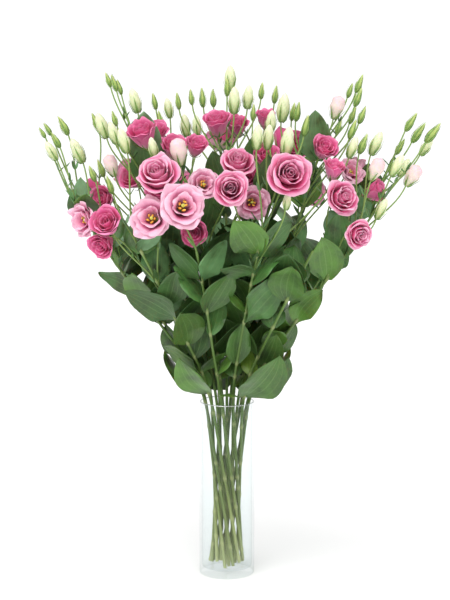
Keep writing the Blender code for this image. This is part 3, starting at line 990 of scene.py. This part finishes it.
@dataclass
class Petal:
    """A single petal rising from the foot of its bloom, in the bloom's own frame."""

    ring: PetalRing
    radius: float
    depth: float
    angle: float
    chance: random.Random
    thick: float = 0.25
    tilt: float = 0.05
    line: list[Vector] = field(init=False)
    waves: list[float] = field(init=False)
    half: float = field(init=False)
    ruffle: float = field(init=False)

    def __post_init__(self) -> None:
        """Draw the middle line and the petal's own small differences."""
        ring, r, d, draw = self.ring, self.radius, self.depth, self.chance.uniform
        spread, rise = ring.spread * r * draw(0.92, 1.06), ring.rise * d * draw(0.93, 1.03)
        curl = ring.curl * r * draw(0.7, 1.3)
        self.line = [Vector((0.05 * r, 0.0, 0.01 * d)), Vector((ring.belly * r, 0.0, 0.2 * d)),
                     Vector((spread - curl, 0.0, rise)),
                     Vector((spread, 0.0, rise - 0.45 * curl))]
        self.waves = [draw(0.0, 2.0 * math.pi) for _ in range(4)]
        self.half = ring.width * r * draw(0.92, 1.08)
        self.ruffle = ring.ruffle * r * draw(0.7, 1.3)

    def place(self, a: float, b: float) -> Vector:
        """A point of the petal.

        Args:
            a: Share along it.
            b: Share across it.

        Returns:
            The point in the bloom's own frame.
        """
        s = 2.0 * b - 1.0
        u = a * (1.0 - 0.30 * abs(s) ** 3 * a * a)
        point = cubic(self.line, u)
        ahead = cubic(self.line, min(1.0, u + 0.02)) - cubic(self.line, max(0.0, u - 0.02))
        ahead.normalize()
        inward = Vector((-ahead.z, 0.0, ahead.x))
        half = self.half * (0.20 + 0.80 * eased(u / 0.62)) * (1.0 - 0.12 * u ** 4)
        bend = max(self.ring.wrap * point.x, 3.0)
        turn = s * half / bend
        p = Vector((point.x - bend * (1.0 - math.cos(turn)), bend * math.sin(turn), point.z))
        w = self.waves
        wave = math.sin(3.2 * s + w[0]) + 0.6 * math.sin(6.6 * s + w[1] + 2.0 * a)
        wave += 0.35 * u * math.sin(12.0 * s + w[3])
        p += inward * self.ruffle * (u ** 2.5) * wave
        p -= inward * self.ruffle * 0.9 * u ** 4 * abs(s) ** 3
        p.z += self.ruffle * 0.6 * u ** 3 * math.sin(7.5 * s + w[2])
        p.x += self.tilt * self.radius * s * u
        return Matrix.Rotation(self.angle, 3, "Z") @ p


@dataclass
class BranchEnd:
    """Anything modelled at the end of a branch, in the frame of its head."""

    head: Head
    chance: random.Random = field(init=False)
    frame: Matrix = field(init=False)

    SEED = 0

    def __post_init__(self) -> None:
        """Start the draw and find the head's own frame."""
        self.chance = random.Random(self.SEED + self.head.number)
        self.frame = self.head.axis.to_track_quat("Z", "Y").to_matrix()

    def placed(self, point: Vector) -> Vector:
        """A point of the head's own frame in the bunch."""
        return self.head.base + self.frame @ point


@dataclass
class Flower(BranchEnd):
    """One double bloom: whorls of ruffled petals, a calyx and, where open, stamens."""

    finishes: Finishes
    along: int = 12
    across: int = 14
    sepals: int = 5
    sepal_thick: float = 0.5
    anthers: int = 5

    SEED = 500
    RINGS = {
        Bloom.OPEN: (PetalRing(5, 0, 1.05, 0.80, 0.60, 0.86, 0.38, 1.4, 0.105),
                     PetalRing(4, 36, 0.88, 0.92, 0.50, 0.84, 0.34, 1.3, 0.110),
                     PetalRing(3, 10, 0.54, 0.92, 0.36, 0.56, 0.20, 1.1, 0.110)),
        Bloom.ROSE: (PetalRing(4, 0, 1.05, 0.76, 0.80, 1.04, 0.40, 1.10, 0.100),
                     PetalRing(3, 40, 0.86, 0.94, 0.76, 1.04, 0.28, 1.02, 0.095),
                     PetalRing(3, 100, 0.60, 1.02, 0.60, 0.76, 0.15, 1.0, 0.080),
                     PetalRing(3, 20, 0.38, 1.01, 0.40, 0.52, 0.07, 1.0, 0.055),
                     PetalRing(3, 70, 0.21, 0.98, 0.26, 0.34, 0.03, 1.0, 0.035),
                     PetalRing(2, 10, 0.09, 0.95, 0.13, 0.22, 0.01, 1.0, 0.02)),
        Bloom.CUP: (PetalRing(4, 0, 1.00, 0.96, 0.60, 0.98, 0.20, 1.02, 0.090),
                    PetalRing(3, 36, 0.80, 1.00, 0.54, 0.92, 0.13, 1.0, 0.080),
                    PetalRing(3, 80, 0.54, 1.00, 0.42, 0.62, 0.07, 1.0, 0.050),
                    PetalRing(3, 10, 0.30, 0.98, 0.30, 0.42, 0.03, 1.0, 0.035),
                    PetalRing(2, 60, 0.12, 0.94, 0.15, 0.24, 0.01, 1.0, 0.02))}
    SLOTS = {Bloom.OPEN: "petal_light_pink", Bloom.ROSE: "petal_pink",
             Bloom.CUP: "petal_deep_pink"}
    TONES = {Bloom.OPEN: (0.0, 0.08), Bloom.ROSE: (0.0, 0.16), Bloom.CUP: (0.0, 0.35)}
    BELLIES = {Bloom.OPEN: 0.60, Bloom.ROSE: 0.84, Bloom.CUP: 0.66}

    def build(self) -> Object:
        """Model the bloom.

        Returns:
            The finished piece.
        """
        head = self.head
        skin = Skin("bloom_%s_%02d" % (head.kind.value, head.number))
        low, high = self.TONES[head.kind]
        turn, tone = self.chance.uniform(0.0, 360.0), self.chance.uniform(low, high)
        for ring in self.RINGS[head.kind]:
            self._whorl(skin, ring, turn, tone)
        self._calyx(skin)
        if head.kind is Bloom.OPEN:
            self._stamens(skin)
        node = "flower_%s_%02d" % (head.kind.value, head.number)
        f = self.finishes
        return skin.finish([f.petals[head.kind], f.sepal, f.anther, f.stigma],
                           self.SLOTS[head.kind], [node])

    def _whorl(self, skin: Skin, ring: PetalRing, turn: float, tone: float) -> None:
        """Lay the petals of one whorl.

        Args:
            skin: The bloom's mesh.
            ring: The whorl.
            turn: Where the bloom's first petal stands, degrees.
            tone: How deep the bloom's colour is.
        """
        for i in range(ring.count):
            angle = math.radians(turn + ring.turn + 360.0 * i / ring.count
                                 + self.chance.uniform(-11.0, 11.0))
            petal = Petal(ring, self.head.size, self.head.depth, angle, self.chance)
            own = tone + self.chance.uniform(-0.05, 0.05)
            skin.sheet(self.along, self.across, lambda a, b: self.placed(petal.place(a, b)),
                       lambda a, b: (a, abs(2.0 * b - 1.0), max(0.0, own)), thick=petal.thick)

    def _calyx(self, skin: Skin) -> None:
        """A green cup under the petals with narrow pointed sepals.

        Args:
            skin: The bloom's mesh.
        """
        r, d, draw = self.head.size, self.head.depth, self.chance.uniform
        foot = [Vector((0, 0, z)) for z in (-1.5, 0.0, 0.05 * d, 0.1 * d, 0.14 * d)]
        skin.tube([self.placed(p) for p in foot], (1.1, 2.0, 0.13 * r, 0.15 * r, 0.05 * r), 10,
                  plain, 1)
        belly = self.BELLIES[self.head.kind] * r
        for i in range(self.sepals):
            angle = 2.0 * math.pi * i / self.sepals + draw(-0.15, 0.15)
            flare = draw(0.95, 1.2)
            line = [Vector((0.1 * r, 0, 0.04 * d)), Vector((0.30 * r * flare, 0, 0.10 * d)),
                    Vector((belly * 1.04 * flare, 0, 0.28 * d)),
                    Vector((belly * 1.12 * flare, 0, 0.52 * d))]
            spin = Matrix.Rotation(angle, 3, "Z")

            def place(a: float, b: float, line: list[Vector] = line,
                      spin: Matrix = spin) -> Vector:
                """A point of the sepal."""
                half = 0.075 * r * (1.0 - a) ** 0.7 * (0.5 + 1.2 * eased(a / 0.25)) * 0.8
                p = cubic(line, a)
                p.y += (2.0 * b - 1.0) * half
                return self.placed(spin @ p)

            skin.sheet(7, 2, place, lambda a, b: (a, abs(2 * b - 1), 0.0), 1,
                       thick=self.sepal_thick)

    def _stamens(self, skin: Skin) -> None:
        """Anthers on short threads about a green pistil with a broad stigma.

        Args:
            skin: The bloom's mesh.
        """
        r, d, draw = self.head.size, self.head.depth, self.chance.uniform
        for i in range(self.anthers):
            angle = 2.0 * math.pi * i / self.anthers + draw(-0.2, 0.2)
            spin = Matrix.Rotation(angle, 3, "Z")
            out, high = r * draw(0.10, 0.22), d * draw(0.50, 0.60)
            thread = [Vector((0.06 * r, 0, 0.15 * d)), Vector((0.12 * r, 0, 0.35 * d)),
                      Vector((out, 0, high))]
            skin.tube([self.placed(spin @ p) for p in thread], (0.45, 0.4, 0.35), 5,
                      plain, 3)
            lie = Vector((draw(-0.3, 0.6), draw(-1.0, 1.0), 0.5)).normalized() * 0.10 * r
            middle = Vector((out, 0.0, high + 0.02 * d))
            points = [middle + lie * k for k in (-1.0, -0.7, 0.0, 0.7, 1.0)]
            fat = 0.055 * r
            skin.tube([self.placed(spin @ p) for p in points],
                      (0.2, fat * 0.8, fat, fat * 0.8, 0.2), 7, plain, 2)
        pistil = [Vector((0, 0, z * d)) for z in (0.12, 0.28, 0.42, 0.54, 0.57, 0.60, 0.615)]
        widths = [w * r for w in (0.06, 0.075, 0.05, 0.035, 0.085, 0.085, 0.02)]
        skin.tube([self.placed(p) for p in pistil], widths, 9, plain, 3)


@dataclass
class Bud(BranchEnd):
    """One furled bud with its calyx."""

    along: int = 12
    across: int = 20
    petals: int = 5
    lap_height: float = 0.16
    sepals: int = 5
    sepal_thick: float = 0.35

    SEED = 900
    WIDTHS = {BudKind.TIGHT: 0.165, BudKind.PALE: 0.225, BudKind.BLUSH: 0.30}
    SHAPES = {
        BudKind.TIGHT: ((0.0, 0.35), (0.14, 0.85), (0.38, 1.0), (0.7, 0.62), (0.9, 0.28),
                        (1.0, 0.0)),
        BudKind.PALE: ((0.0, 0.35), (0.12, 0.75), (0.42, 1.0), (0.72, 0.80), (0.92, 0.42),
                       (1.0, 0.0)),
        BudKind.BLUSH: ((0.0, 0.3), (0.15, 0.62), (0.5, 1.0), (0.8, 0.92), (0.95, 0.62),
                        (1.0, 0.0))}
    TWISTS = {BudKind.TIGHT: 1.2, BudKind.PALE: 2.2, BudKind.BLUSH: 2.6}
    SEPALS = {BudKind.TIGHT: 1.02, BudKind.PALE: 0.72, BudKind.BLUSH: 0.55}

    def grow(self, skin: Skin, body: int, sepal: int) -> None:
        """Add the bud to a mesh.

        Args:
            skin: The mesh.
            body: Material slot of the furled petals.
            sepal: Material slot of the calyx.
        """
        kind, length, draw = self.head.kind, self.head.size, self.chance.uniform
        width, shape = self.WIDTHS[kind] * length, self.SHAPES[kind]
        twist, start = self.TWISTS[kind], draw(0.0, 6.0)

        def lap(a: float, b: float) -> float:
            """How far across its petal a point is."""
            return (b * self.petals + twist * a * 1.2 + start) % 1.0

        def furled(a: float, b: float) -> Vector:
            """A point of the body, whose petals overlap in a spiral."""
            turn = 2.0 * math.pi * b
            raised = 0.90 + self.lap_height * lap(a, b) * eased(a / 0.3)
            r = width * blended(shape, a) * raised
            return self.placed(Vector((r * math.cos(turn), r * math.sin(turn), a * length)))

        def shade(a: float, b: float) -> tuple[float, float, float]:
            """Finish numbers: painted shade, darker in the folds between petals."""
            across = lap(a, b)
            return a, 1.0 - min(1.0, 4.0 * min(across, 1.0 - across)), 0.0

        skin.sheet(self.along, self.across, furled, shade, body, closed=True)
        for i in range(self.sepals):
            self._sepal(skin, i, width, sepal)

    def _sepal(self, skin: Skin, index: int, width: float, slot: int) -> None:
        """One narrow pointed sepal lying along the bud.

        Args:
            skin: The mesh.
            index: Which sepal it is.
            width: Greatest radius of the bud.
            slot: Its material slot.
        """
        kind, length, draw = self.head.kind, self.head.size, self.chance.uniform
        shape, tall = self.SHAPES[kind], self.SEPALS[kind] * length * draw(0.85, 1.05)
        flare = draw(0.2, 1.6) + (0.8 if kind is not BudKind.TIGHT else 0.0)
        angle = 2.0 * math.pi * index / self.sepals + draw(-0.15, 0.15)
        spin = Matrix.Rotation(angle, 3, "Z")

        def place(a: float, b: float) -> Vector:
            """A point of the sepal."""
            up = a * tall
            r = width * blended(shape, up / length) if up < length else 0.0
            half = (0.35 + 0.030 * length) * (1.0 - a) ** 0.8 * (0.7 + 0.5 * eased(a / 0.2))
            out = r * 1.07 + 0.35 + flare * a * a
            return self.placed(spin @ Vector((out, (2.0 * b - 1.0) * half, up - 0.3)))

        skin.sheet(6, 2, place, plain, slot, thick=self.sepal_thick)


@dataclass(frozen=True)
class Leaf:
    """One clasping, pointed leaf, in mm and degrees."""

    foot: Vector
    azimuth: float
    rises: tuple[float, float]
    roll: float
    length: float
    width: float
    thick: float = 0.45
    fullness: float = 0.6
    clasp: float = 0.26
    widest: float = 0.36
    trough: float = 0.24
    ripple: float = 0.05

    STATIONS = (0.0, 0.28, 0.62, 1.0)

    def tip(self) -> Vector:
        """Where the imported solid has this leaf's tip."""
        point = self.foot
        for low, high in zip(self.STATIONS, self.STATIONS[1:]):
            rise = self.rises[0] + (self.rises[1] - self.rises[0]) * 0.5 * (low + high)
            point = point + heading(self.azimuth, rise) * self.length * (high - low)
        return point

    def spread(self, a: float) -> float:
        """Half the width at a share along, in mm: clasping at the foot, pointed at the tip."""
        if a < self.widest:
            share = self.clasp + (1.0 - self.clasp) * math.sin(a / self.widest * math.pi / 2.0)
        else:
            ahead = (a - self.widest) / (1.0 - self.widest)
            share = math.cos(ahead ** 1.15 * math.pi / 2.0) ** 0.8
        return self.fullness * self.width * max(share, 0.012)

    def grow(self, skin: Skin, chance: random.Random, steps: int = 18, across: int = 8) -> None:
        """Add the leaf to a mesh.

        Args:
            skin: The mesh.
            chance: The draw for waves and tone.
            steps: Faces along the blade.
            across: Faces across it.
        """
        points = [self.foot]
        for i in range(steps):
            rise = self.rises[0] + (self.rises[1] - self.rises[0]) * (i + 0.5) / steps
            points.append(points[-1] + heading(self.azimuth, rise) * self.length / steps)
        level = heading(self.azimuth + 90.0, 0.0)
        phase, waves = chance.uniform(0, 6.28), chance.uniform(1.2, 2.2)
        tone = 0.6 * chance.random() + 0.4 * eased((self.foot.z - 270.0) / 230.0)
        swing = chance.uniform(-0.05, 0.05) * self.length

        def place(a: float, b: float) -> Vector:
            """A point of the blade."""
            i = min(steps - 1, int(a * steps))
            point = points[i].lerp(points[i + 1], a * steps - i)
            along = (points[i + 1] - points[i]).normalized()
            twist = math.radians(self.roll * min(1.0, 0.25 + 2.7 * a))
            side = level * math.cos(twist) + level.cross(along) * math.sin(twist)
            up, s = side.cross(along), 2.0 * b - 1.0
            half = self.spread(a)
            lift = half * self.trough * abs(s) ** 1.4 + 0.5 * (abs(s) ** 0.5)
            wave = math.sin(2 * math.pi * waves * a + phase + s)
            lift += self.ripple * self.width * wave * s * s * a
            bow = swing * math.sin(math.pi * a) * (1.0 - a)
            return point + side * (s * half + bow) + up * lift

        skin.sheet(steps, across, place, lambda a, b: (a, abs(2 * b - 1), tone), 0,
                   thick=self.thick)


@dataclass(frozen=True)
class LeafBook:
    """The leaves each stem may carry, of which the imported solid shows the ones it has."""

    layout: Layout
    match: float = 0.15
    sunk: float = 1.1

    def _front(self, stem: int) -> list[list[tuple]]:
        """Choices for each of a stem's own chosen leaves.

        Args:
            stem: Index of the stem.

        Returns:
            For each leaf, the choices from best to least.
        """
        return [[(height, azimuth + turn, (low, high), roll, long * scale, wide * scale)
                 for scale in LEAF_SCALES for turn in LEAF_TURNS[:5]]
                for index, height, azimuth, low, high, roll, long, wide in FRONT_LEAVES
                if index == stem]

    def _pairs(self, stem: int) -> list[list[tuple]]:
        """Choices for each leaf of the crossed pairs up a stem.

        Args:
            stem: Index of the stem.

        Returns:
            For each leaf, the choices from best to least.
        """
        chance = random.Random(100 + stem)
        line = self.layout.lines[stem]
        spin = math.degrees(cmath.phase(line + 0.1)) + 35.0 + chance.uniform(-20, 20)
        places = []
        for level, (z, length) in enumerate(zip(LEAF_NODES, LEAF_LENGTHS)):
            height = z + chance.uniform(-10, 10)
            rise, tip = chance.uniform(56, 70), chance.uniform(16, 44)
            roll = chance.uniform(-25, 25)
            long = length * chance.uniform(0.88, 1.1)
            wide = long * chance.uniform(0.50, 0.64)
            for half in (0.0, 176.0):
                azimuth = spin + 90.0 * level + half
                places.append([(height + half * 0.012, azimuth + turn, (rise + lift, tip + lift),
                                roll, long * scale, wide * scale)
                               for scale in LEAF_SCALES for lift in LEAF_LIFTS
                               for turn in LEAF_TURNS])
        return places

    def leaves(self, stem: int, node: Object) -> list[Leaf]:
        """The leaves that a stem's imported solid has.

        Args:
            stem: Index of the stem.
            node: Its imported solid.

        Returns:
            The leaves.
        """
        tree = KDTree(len(node.data.vertices))
        for vert in node.data.vertices:
            tree.insert(vert.co, vert.index)
        tree.balance()
        line, found = self.layout.lines[stem], []
        for options in self._front(stem) + self._pairs(stem):
            for height, azimuth, rises, roll, long, wide in options:
                foot = self.layout.fan.stalk_point(line, height)
                foot = foot - heading(azimuth, 0.0) * self.sunk
                leaf = Leaf(foot, azimuth, rises, roll, long, wide)
                if tree.find(leaf.tip() * MM)[2] < self.match * MM:
                    found.append(leaf)
                    break
        return found


@dataclass
class Stem:
    """One stem in mm: its stalk and branches, its leaves and its buds."""

    index: int
    layout: Layout
    finishes: Finishes
    stalk_radius: float = 2.5
    tip_radius: float = 1.5
    tip_height: float = 620.0
    branch_radius: float = 1.0
    low_knuckles: tuple[float, ...] = (40.0, 105.0, 170.0, 235.0)
    knuckle: float = 0.34
    knuckle_reach: float = 3.2
    cut_spread: float = 10.0
    full_height: float = 700.0
    branch_end: float = 0.95
    bract_width: float = 0.24
    line: complex = field(init=False)
    node: str = field(init=False)
    chance: random.Random = field(init=False)
    tone: float = field(init=False)
    foot: float = field(init=False)
    leaves: list[Leaf] = field(init=False)
    bracts: list[Leaf] = field(default_factory=list)

    SEED = 300

    def __post_init__(self) -> None:
        """Find the stem's line, its own shade and cut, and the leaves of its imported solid."""
        last = len(self.layout.lines) - 1
        self.line = self.layout.lines[self.index]
        self.node = "stem_%02d" % (self.index + 1)
        self.chance = random.Random(self.SEED + self.index)
        self.tone = 7 * self.index % (last + 1) / last
        cut = 5 * self.index % (last + 1) / last
        self.foot = self.layout.fan.foot + self.cut_spread * cut
        self.leaves = LeafBook(self.layout).leaves(self.index, frame["nodes"][self.node])
        log.info("%s: %d leaves", self.node, len(self.leaves))

    def build(self) -> None:
        """Model the whole stem."""
        self._stalk()
        if self.leaves + self.bracts:
            self._foliage()
        if self.layout.own(self.index, BudKind):
            self._buds()

    def _heights(self, knuckles: Sequence[float], top: float) -> list[float]:
        """Stations up the stalk, closer together about its knuckles.

        Args:
            knuckles: Heights of the knuckles.
            top: Height of the stalk's end.

        Returns:
            The heights of the stations.
        """
        heights = set(float(z) for z in range(26, int(top), 16)) | {self.foot, top}
        for knuckle in knuckles:
            heights |= {knuckle + step for step in (-5.0, -2.5, 0.0, 2.5, 5.0)}
        ordered = []
        for z in sorted(heights):
            if self.foot <= z <= top and (not ordered or z - ordered[-1] > 1.0):
                ordered.append(z)
        return ordered

    def _stalk(self) -> None:
        """The stalk with its knuckles and every branch off it."""
        fan, top = self.layout.fan, self.layout.top(self.index)
        skin = Skin("stalk_%02d" % (self.index + 1))
        knuckles = [z + self.chance.uniform(-26.0, 26.0) for z in self.low_knuckles]
        knuckles += [leaf.foot.z for leaf in self.leaves]
        heights = self._heights(knuckles, top)

        def swelling(z: float) -> float:
            """How much of a knuckle there is at a height."""
            return max(math.exp(-((z - k) / self.knuckle_reach) ** 2) for k in knuckles)

        taper = (self.tip_radius - self.stalk_radius) / self.tip_height
        radii = [(self.stalk_radius + taper * z) * (1.0 + self.knuckle * swelling(z))
                 for z in heights]
        reach = heights[-1] / self.full_height
        last = len(heights) - 1
        skin.tube([fan.stalk_point(self.line, z) for z in heights], radii, 10,
                  lambda a, b: (heights[round(a * last)] / self.full_height,
                                swelling(heights[round(a * last)]), self.tone))
        for head in self.layout.own(self.index, Enum):
            self._branch(skin, head, reach)
        skin.finish([self.finishes.stem], "stem_green", [self.node], sharp=80.0)

    def _branch(self, skin: Skin, head: Head, reach: float) -> None:
        """One branch with a pair of bracts at its fork and another near its middle.

        Args:
            skin: The stalk's mesh.
            head: The bloom or bud it carries.
            reach: The stalk's last finish number along, which the branch goes on from.
        """
        line, steps = head.branch(self.layout.fan, self.line), 12
        points = [cubic(line, i / steps) for i in range(steps + 1)]
        if isinstance(head.kind, Bloom):
            points.append(head.base)
        last = len(points) - 1
        radii = [self.branch_radius * (1.35 - 0.30 * i / last) for i in range(last + 1)]
        skin.tube(points, radii, 7, lambda a, b: (reach + (self.branch_end - reach) * a, 0.0,
                                                  self.tone * (1.0 - a)))
        for share, long in ((0.08, 26.0), (0.5, 15.0)):
            self._bracts(cubic(line, share), cubic(line, share + 0.05), long)

    def _bracts(self, foot: Vector, ahead: Vector, long: float) -> None:
        """Draw a pair of small narrow leaves that hug a branch.

        Args:
            foot: Where they grow.
            ahead: A point of the branch a little further on.
            long: Their usual length.
        """
        draw = self.chance.uniform
        along = (ahead - foot).normalized()
        spin = draw(0.0, 360.0)
        for half in (0.0, 180.0):
            azimuth, length = spin + half, long * draw(0.7, 1.2)
            out = heading(azimuth, 0.0)
            rise = 62.0 + 20.0 * along.dot(out) + draw(-8.0, 8.0)
            self.bracts.append(Leaf(foot, azimuth, (rise, rise - 18.0), draw(-30.0, 30.0), length,
                                    length * self.bract_width))

    def _foliage(self) -> None:
        """All leaves of the stem."""
        skin = Skin("leaves_%02d" % (self.index + 1))
        for leaf in self.leaves:
            leaf.grow(skin, self.chance)
        for bract in self.bracts:
            bract.grow(skin, self.chance, steps=6, across=2)
        skin.finish([self.finishes.leaf], "stem_green", [self.node], sharp=80.0)

    def _buds(self) -> None:
        """All buds of the stem."""
        skin, kinds = Skin("buds_%02d" % (self.index + 1)), list(BudKind)
        for head in self.layout.own(self.index, BudKind):
            Bud(head).grow(skin, kinds.index(head.kind), len(kinds))
        materials = [self.finishes.buds[kind] for kind in kinds] + [self.finishes.sepal]
        skin.finish(materials, "stem_green", [self.node], sharp=80.0)


@dataclass(frozen=True)
class Vase:
    """The clear cylinder vase, in mm."""

    radius: float = 40.0
    height: float = 255.0
    wall: float = 3.0
    floor: float = 10.0
    foot_round: float = 2.0
    inner_round: float = 3.0
    steps: int = 96

    def build(self, finishes: Finishes) -> Object:
        """Turn the wall and the foot, with a rounded rim.

        Args:
            finishes: The materials.

        Returns:
            The vase.
        """
        skin = Skin("glass_vase")
        mesh, inner, half = skin.mesh, self.radius - self.wall, 0.5 * self.wall
        foot, deep, top = self.foot_round, self.inner_round, self.height - half
        profile = [(0.0, 0.0), (self.radius - foot, 0.0),
                   (self.radius - 0.3 * foot, 0.3 * foot), (self.radius, foot), (self.radius, top)]
        profile += [(self.radius - half + half * math.cos(t), top + half * math.sin(t))
                    for t in (math.pi * k / 6.0 for k in range(1, 6))]
        profile += [(inner, top), (inner, self.floor + deep),
                    (inner - 0.3 * deep, self.floor + 0.3 * deep), (inner - deep, self.floor),
                    (0.0, self.floor)]
        verts = [mesh.verts.new((r, 0.0, z)) for r, z in profile]
        edges = [mesh.edges.new(pair) for pair in zip(verts, verts[1:])]
        bmesh.ops.spin(mesh, geom=verts + edges, cent=(0, 0, 0), axis=(0, 0, 1), dvec=(0, 0, 0),
                       angle=2.0 * math.pi, steps=self.steps, use_merge=True, use_duplicate=False)
        bmesh.ops.remove_doubles(mesh, verts=mesh.verts, dist=0.01)
        bmesh.ops.recalc_face_normals(mesh, faces=mesh.faces)
        for face in mesh.faces:
            face.smooth = True
            face.material_index = int(face.calc_center_median().z > top - 0.1)
        return skin.finish([finishes.glass, finishes.rim], "clear_glass", ["vase"], sharp=40.0)


@dataclass(frozen=True)
class Studio:
    """Pale floor, soft light and the camera, in metres."""

    eye: tuple[float, float, float] = (-0.0028, -2.0, 0.65)
    target: tuple[float, float, float] = (-0.0028, 0.0, 0.4014)
    lens: float = 84.3
    film: float = 36.0
    light: float = 0.7
    seen: float = 1.1
    floor_side: float = 12.0
    floor_white: Colour = (0.96, 0.96, 0.96)

    def build(self) -> None:
        """Set up the studio."""
        scene = bpy.context.scene
        scene.view_settings.view_transform = "Standard"
        scene.world = self._surround()
        self._floor()
        self._sun("key", (-0.35, -0.8, 1.1), 2.15, 68.0)
        self._sun("fill", (0.9, -0.6, 0.4), 0.5, 110.0)
        self._camera()

    def _surround(self) -> World:
        """White all round, brighter to the eye than as a source of light."""
        world = bpy.data.worlds.new("studio")
        world.use_nodes = True
        tree = world.node_tree
        light = tree.nodes["Background"]
        seen, path = tree.nodes.new("ShaderNodeBackground"), tree.nodes.new("ShaderNodeLightPath")
        both = tree.nodes.new("ShaderNodeMixShader")
        light.inputs["Color"].default_value = seen.inputs["Color"].default_value = (1, 1, 1, 1)
        light.inputs["Strength"].default_value = self.light
        seen.inputs["Strength"].default_value = self.seen
        tree.links.new(path.outputs["Is Camera Ray"], both.inputs[0])
        tree.links.new(light.outputs[0], both.inputs[1])
        tree.links.new(seen.outputs[0], both.inputs[2])
        tree.links.new(both.outputs[0], tree.nodes["World Output"].inputs[0])
        return world

    def _floor(self) -> None:
        """A wide pale floor."""
        data = bpy.data.meshes.new("floor")
        mesh = bmesh.new()
        bmesh.ops.create_grid(mesh, x_segments=1, y_segments=1, size=self.floor_side)
        mesh.to_mesh(data)
        mesh.free()
        floor = bpy.data.objects.new("floor", data)
        shade = Shade("floor", Roughness=0.9)
        shade.join(self.floor_white, shade.shader.inputs["Base Color"])
        data.materials.append(shade.material)
        bpy.context.scene.collection.objects.link(floor)

    def _sun(self, name: str, place: tuple[float, float, float], strength: float,
             spread: float) -> None:
        """A very soft far lamp.

        Args:
            name: Its name.
            place: The direction it stands in.
            strength: Its strength.
            spread: How wide it looks from the bunch, degrees.
        """
        data = bpy.data.lights.new(name, "SUN")
        data.energy, data.angle = strength, math.radians(spread)
        lamp = bpy.data.objects.new(name, data)
        lamp.rotation_euler = (-Vector(place)).to_track_quat("-Z", "Y").to_euler()
        bpy.context.scene.collection.objects.link(lamp)

    def _camera(self) -> None:
        """The camera, a little above the middle of the bunch and looking slightly down."""
        data = bpy.data.cameras.new("camera")
        data.lens, data.sensor_fit = self.lens, "VERTICAL"
        data.sensor_width = data.sensor_height = self.film
        camera = bpy.data.objects.new("camera", data)
        camera.location = self.eye
        aim = Vector(self.target) - Vector(self.eye)
        camera.rotation_euler = aim.to_track_quat("-Z", "Y").to_euler()
        bpy.context.scene.collection.objects.link(camera)
        bpy.context.scene.camera = camera


def main() -> None:
    """Build the bunch, its vase and the studio."""
    logging.basicConfig(level=logging.INFO, format="%(name)s: %(message)s")
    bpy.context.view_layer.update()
    layout, finishes = Layout(), Finishes()
    Vase().build(finishes)
    for index in range(len(layout.lines)):
        Stem(index, layout, finishes).build()
    for head in layout.heads:
        if isinstance(head.kind, Bloom):
            Flower(head, finishes).build()
    Studio().build()


if __name__ == "__main__":
    main()
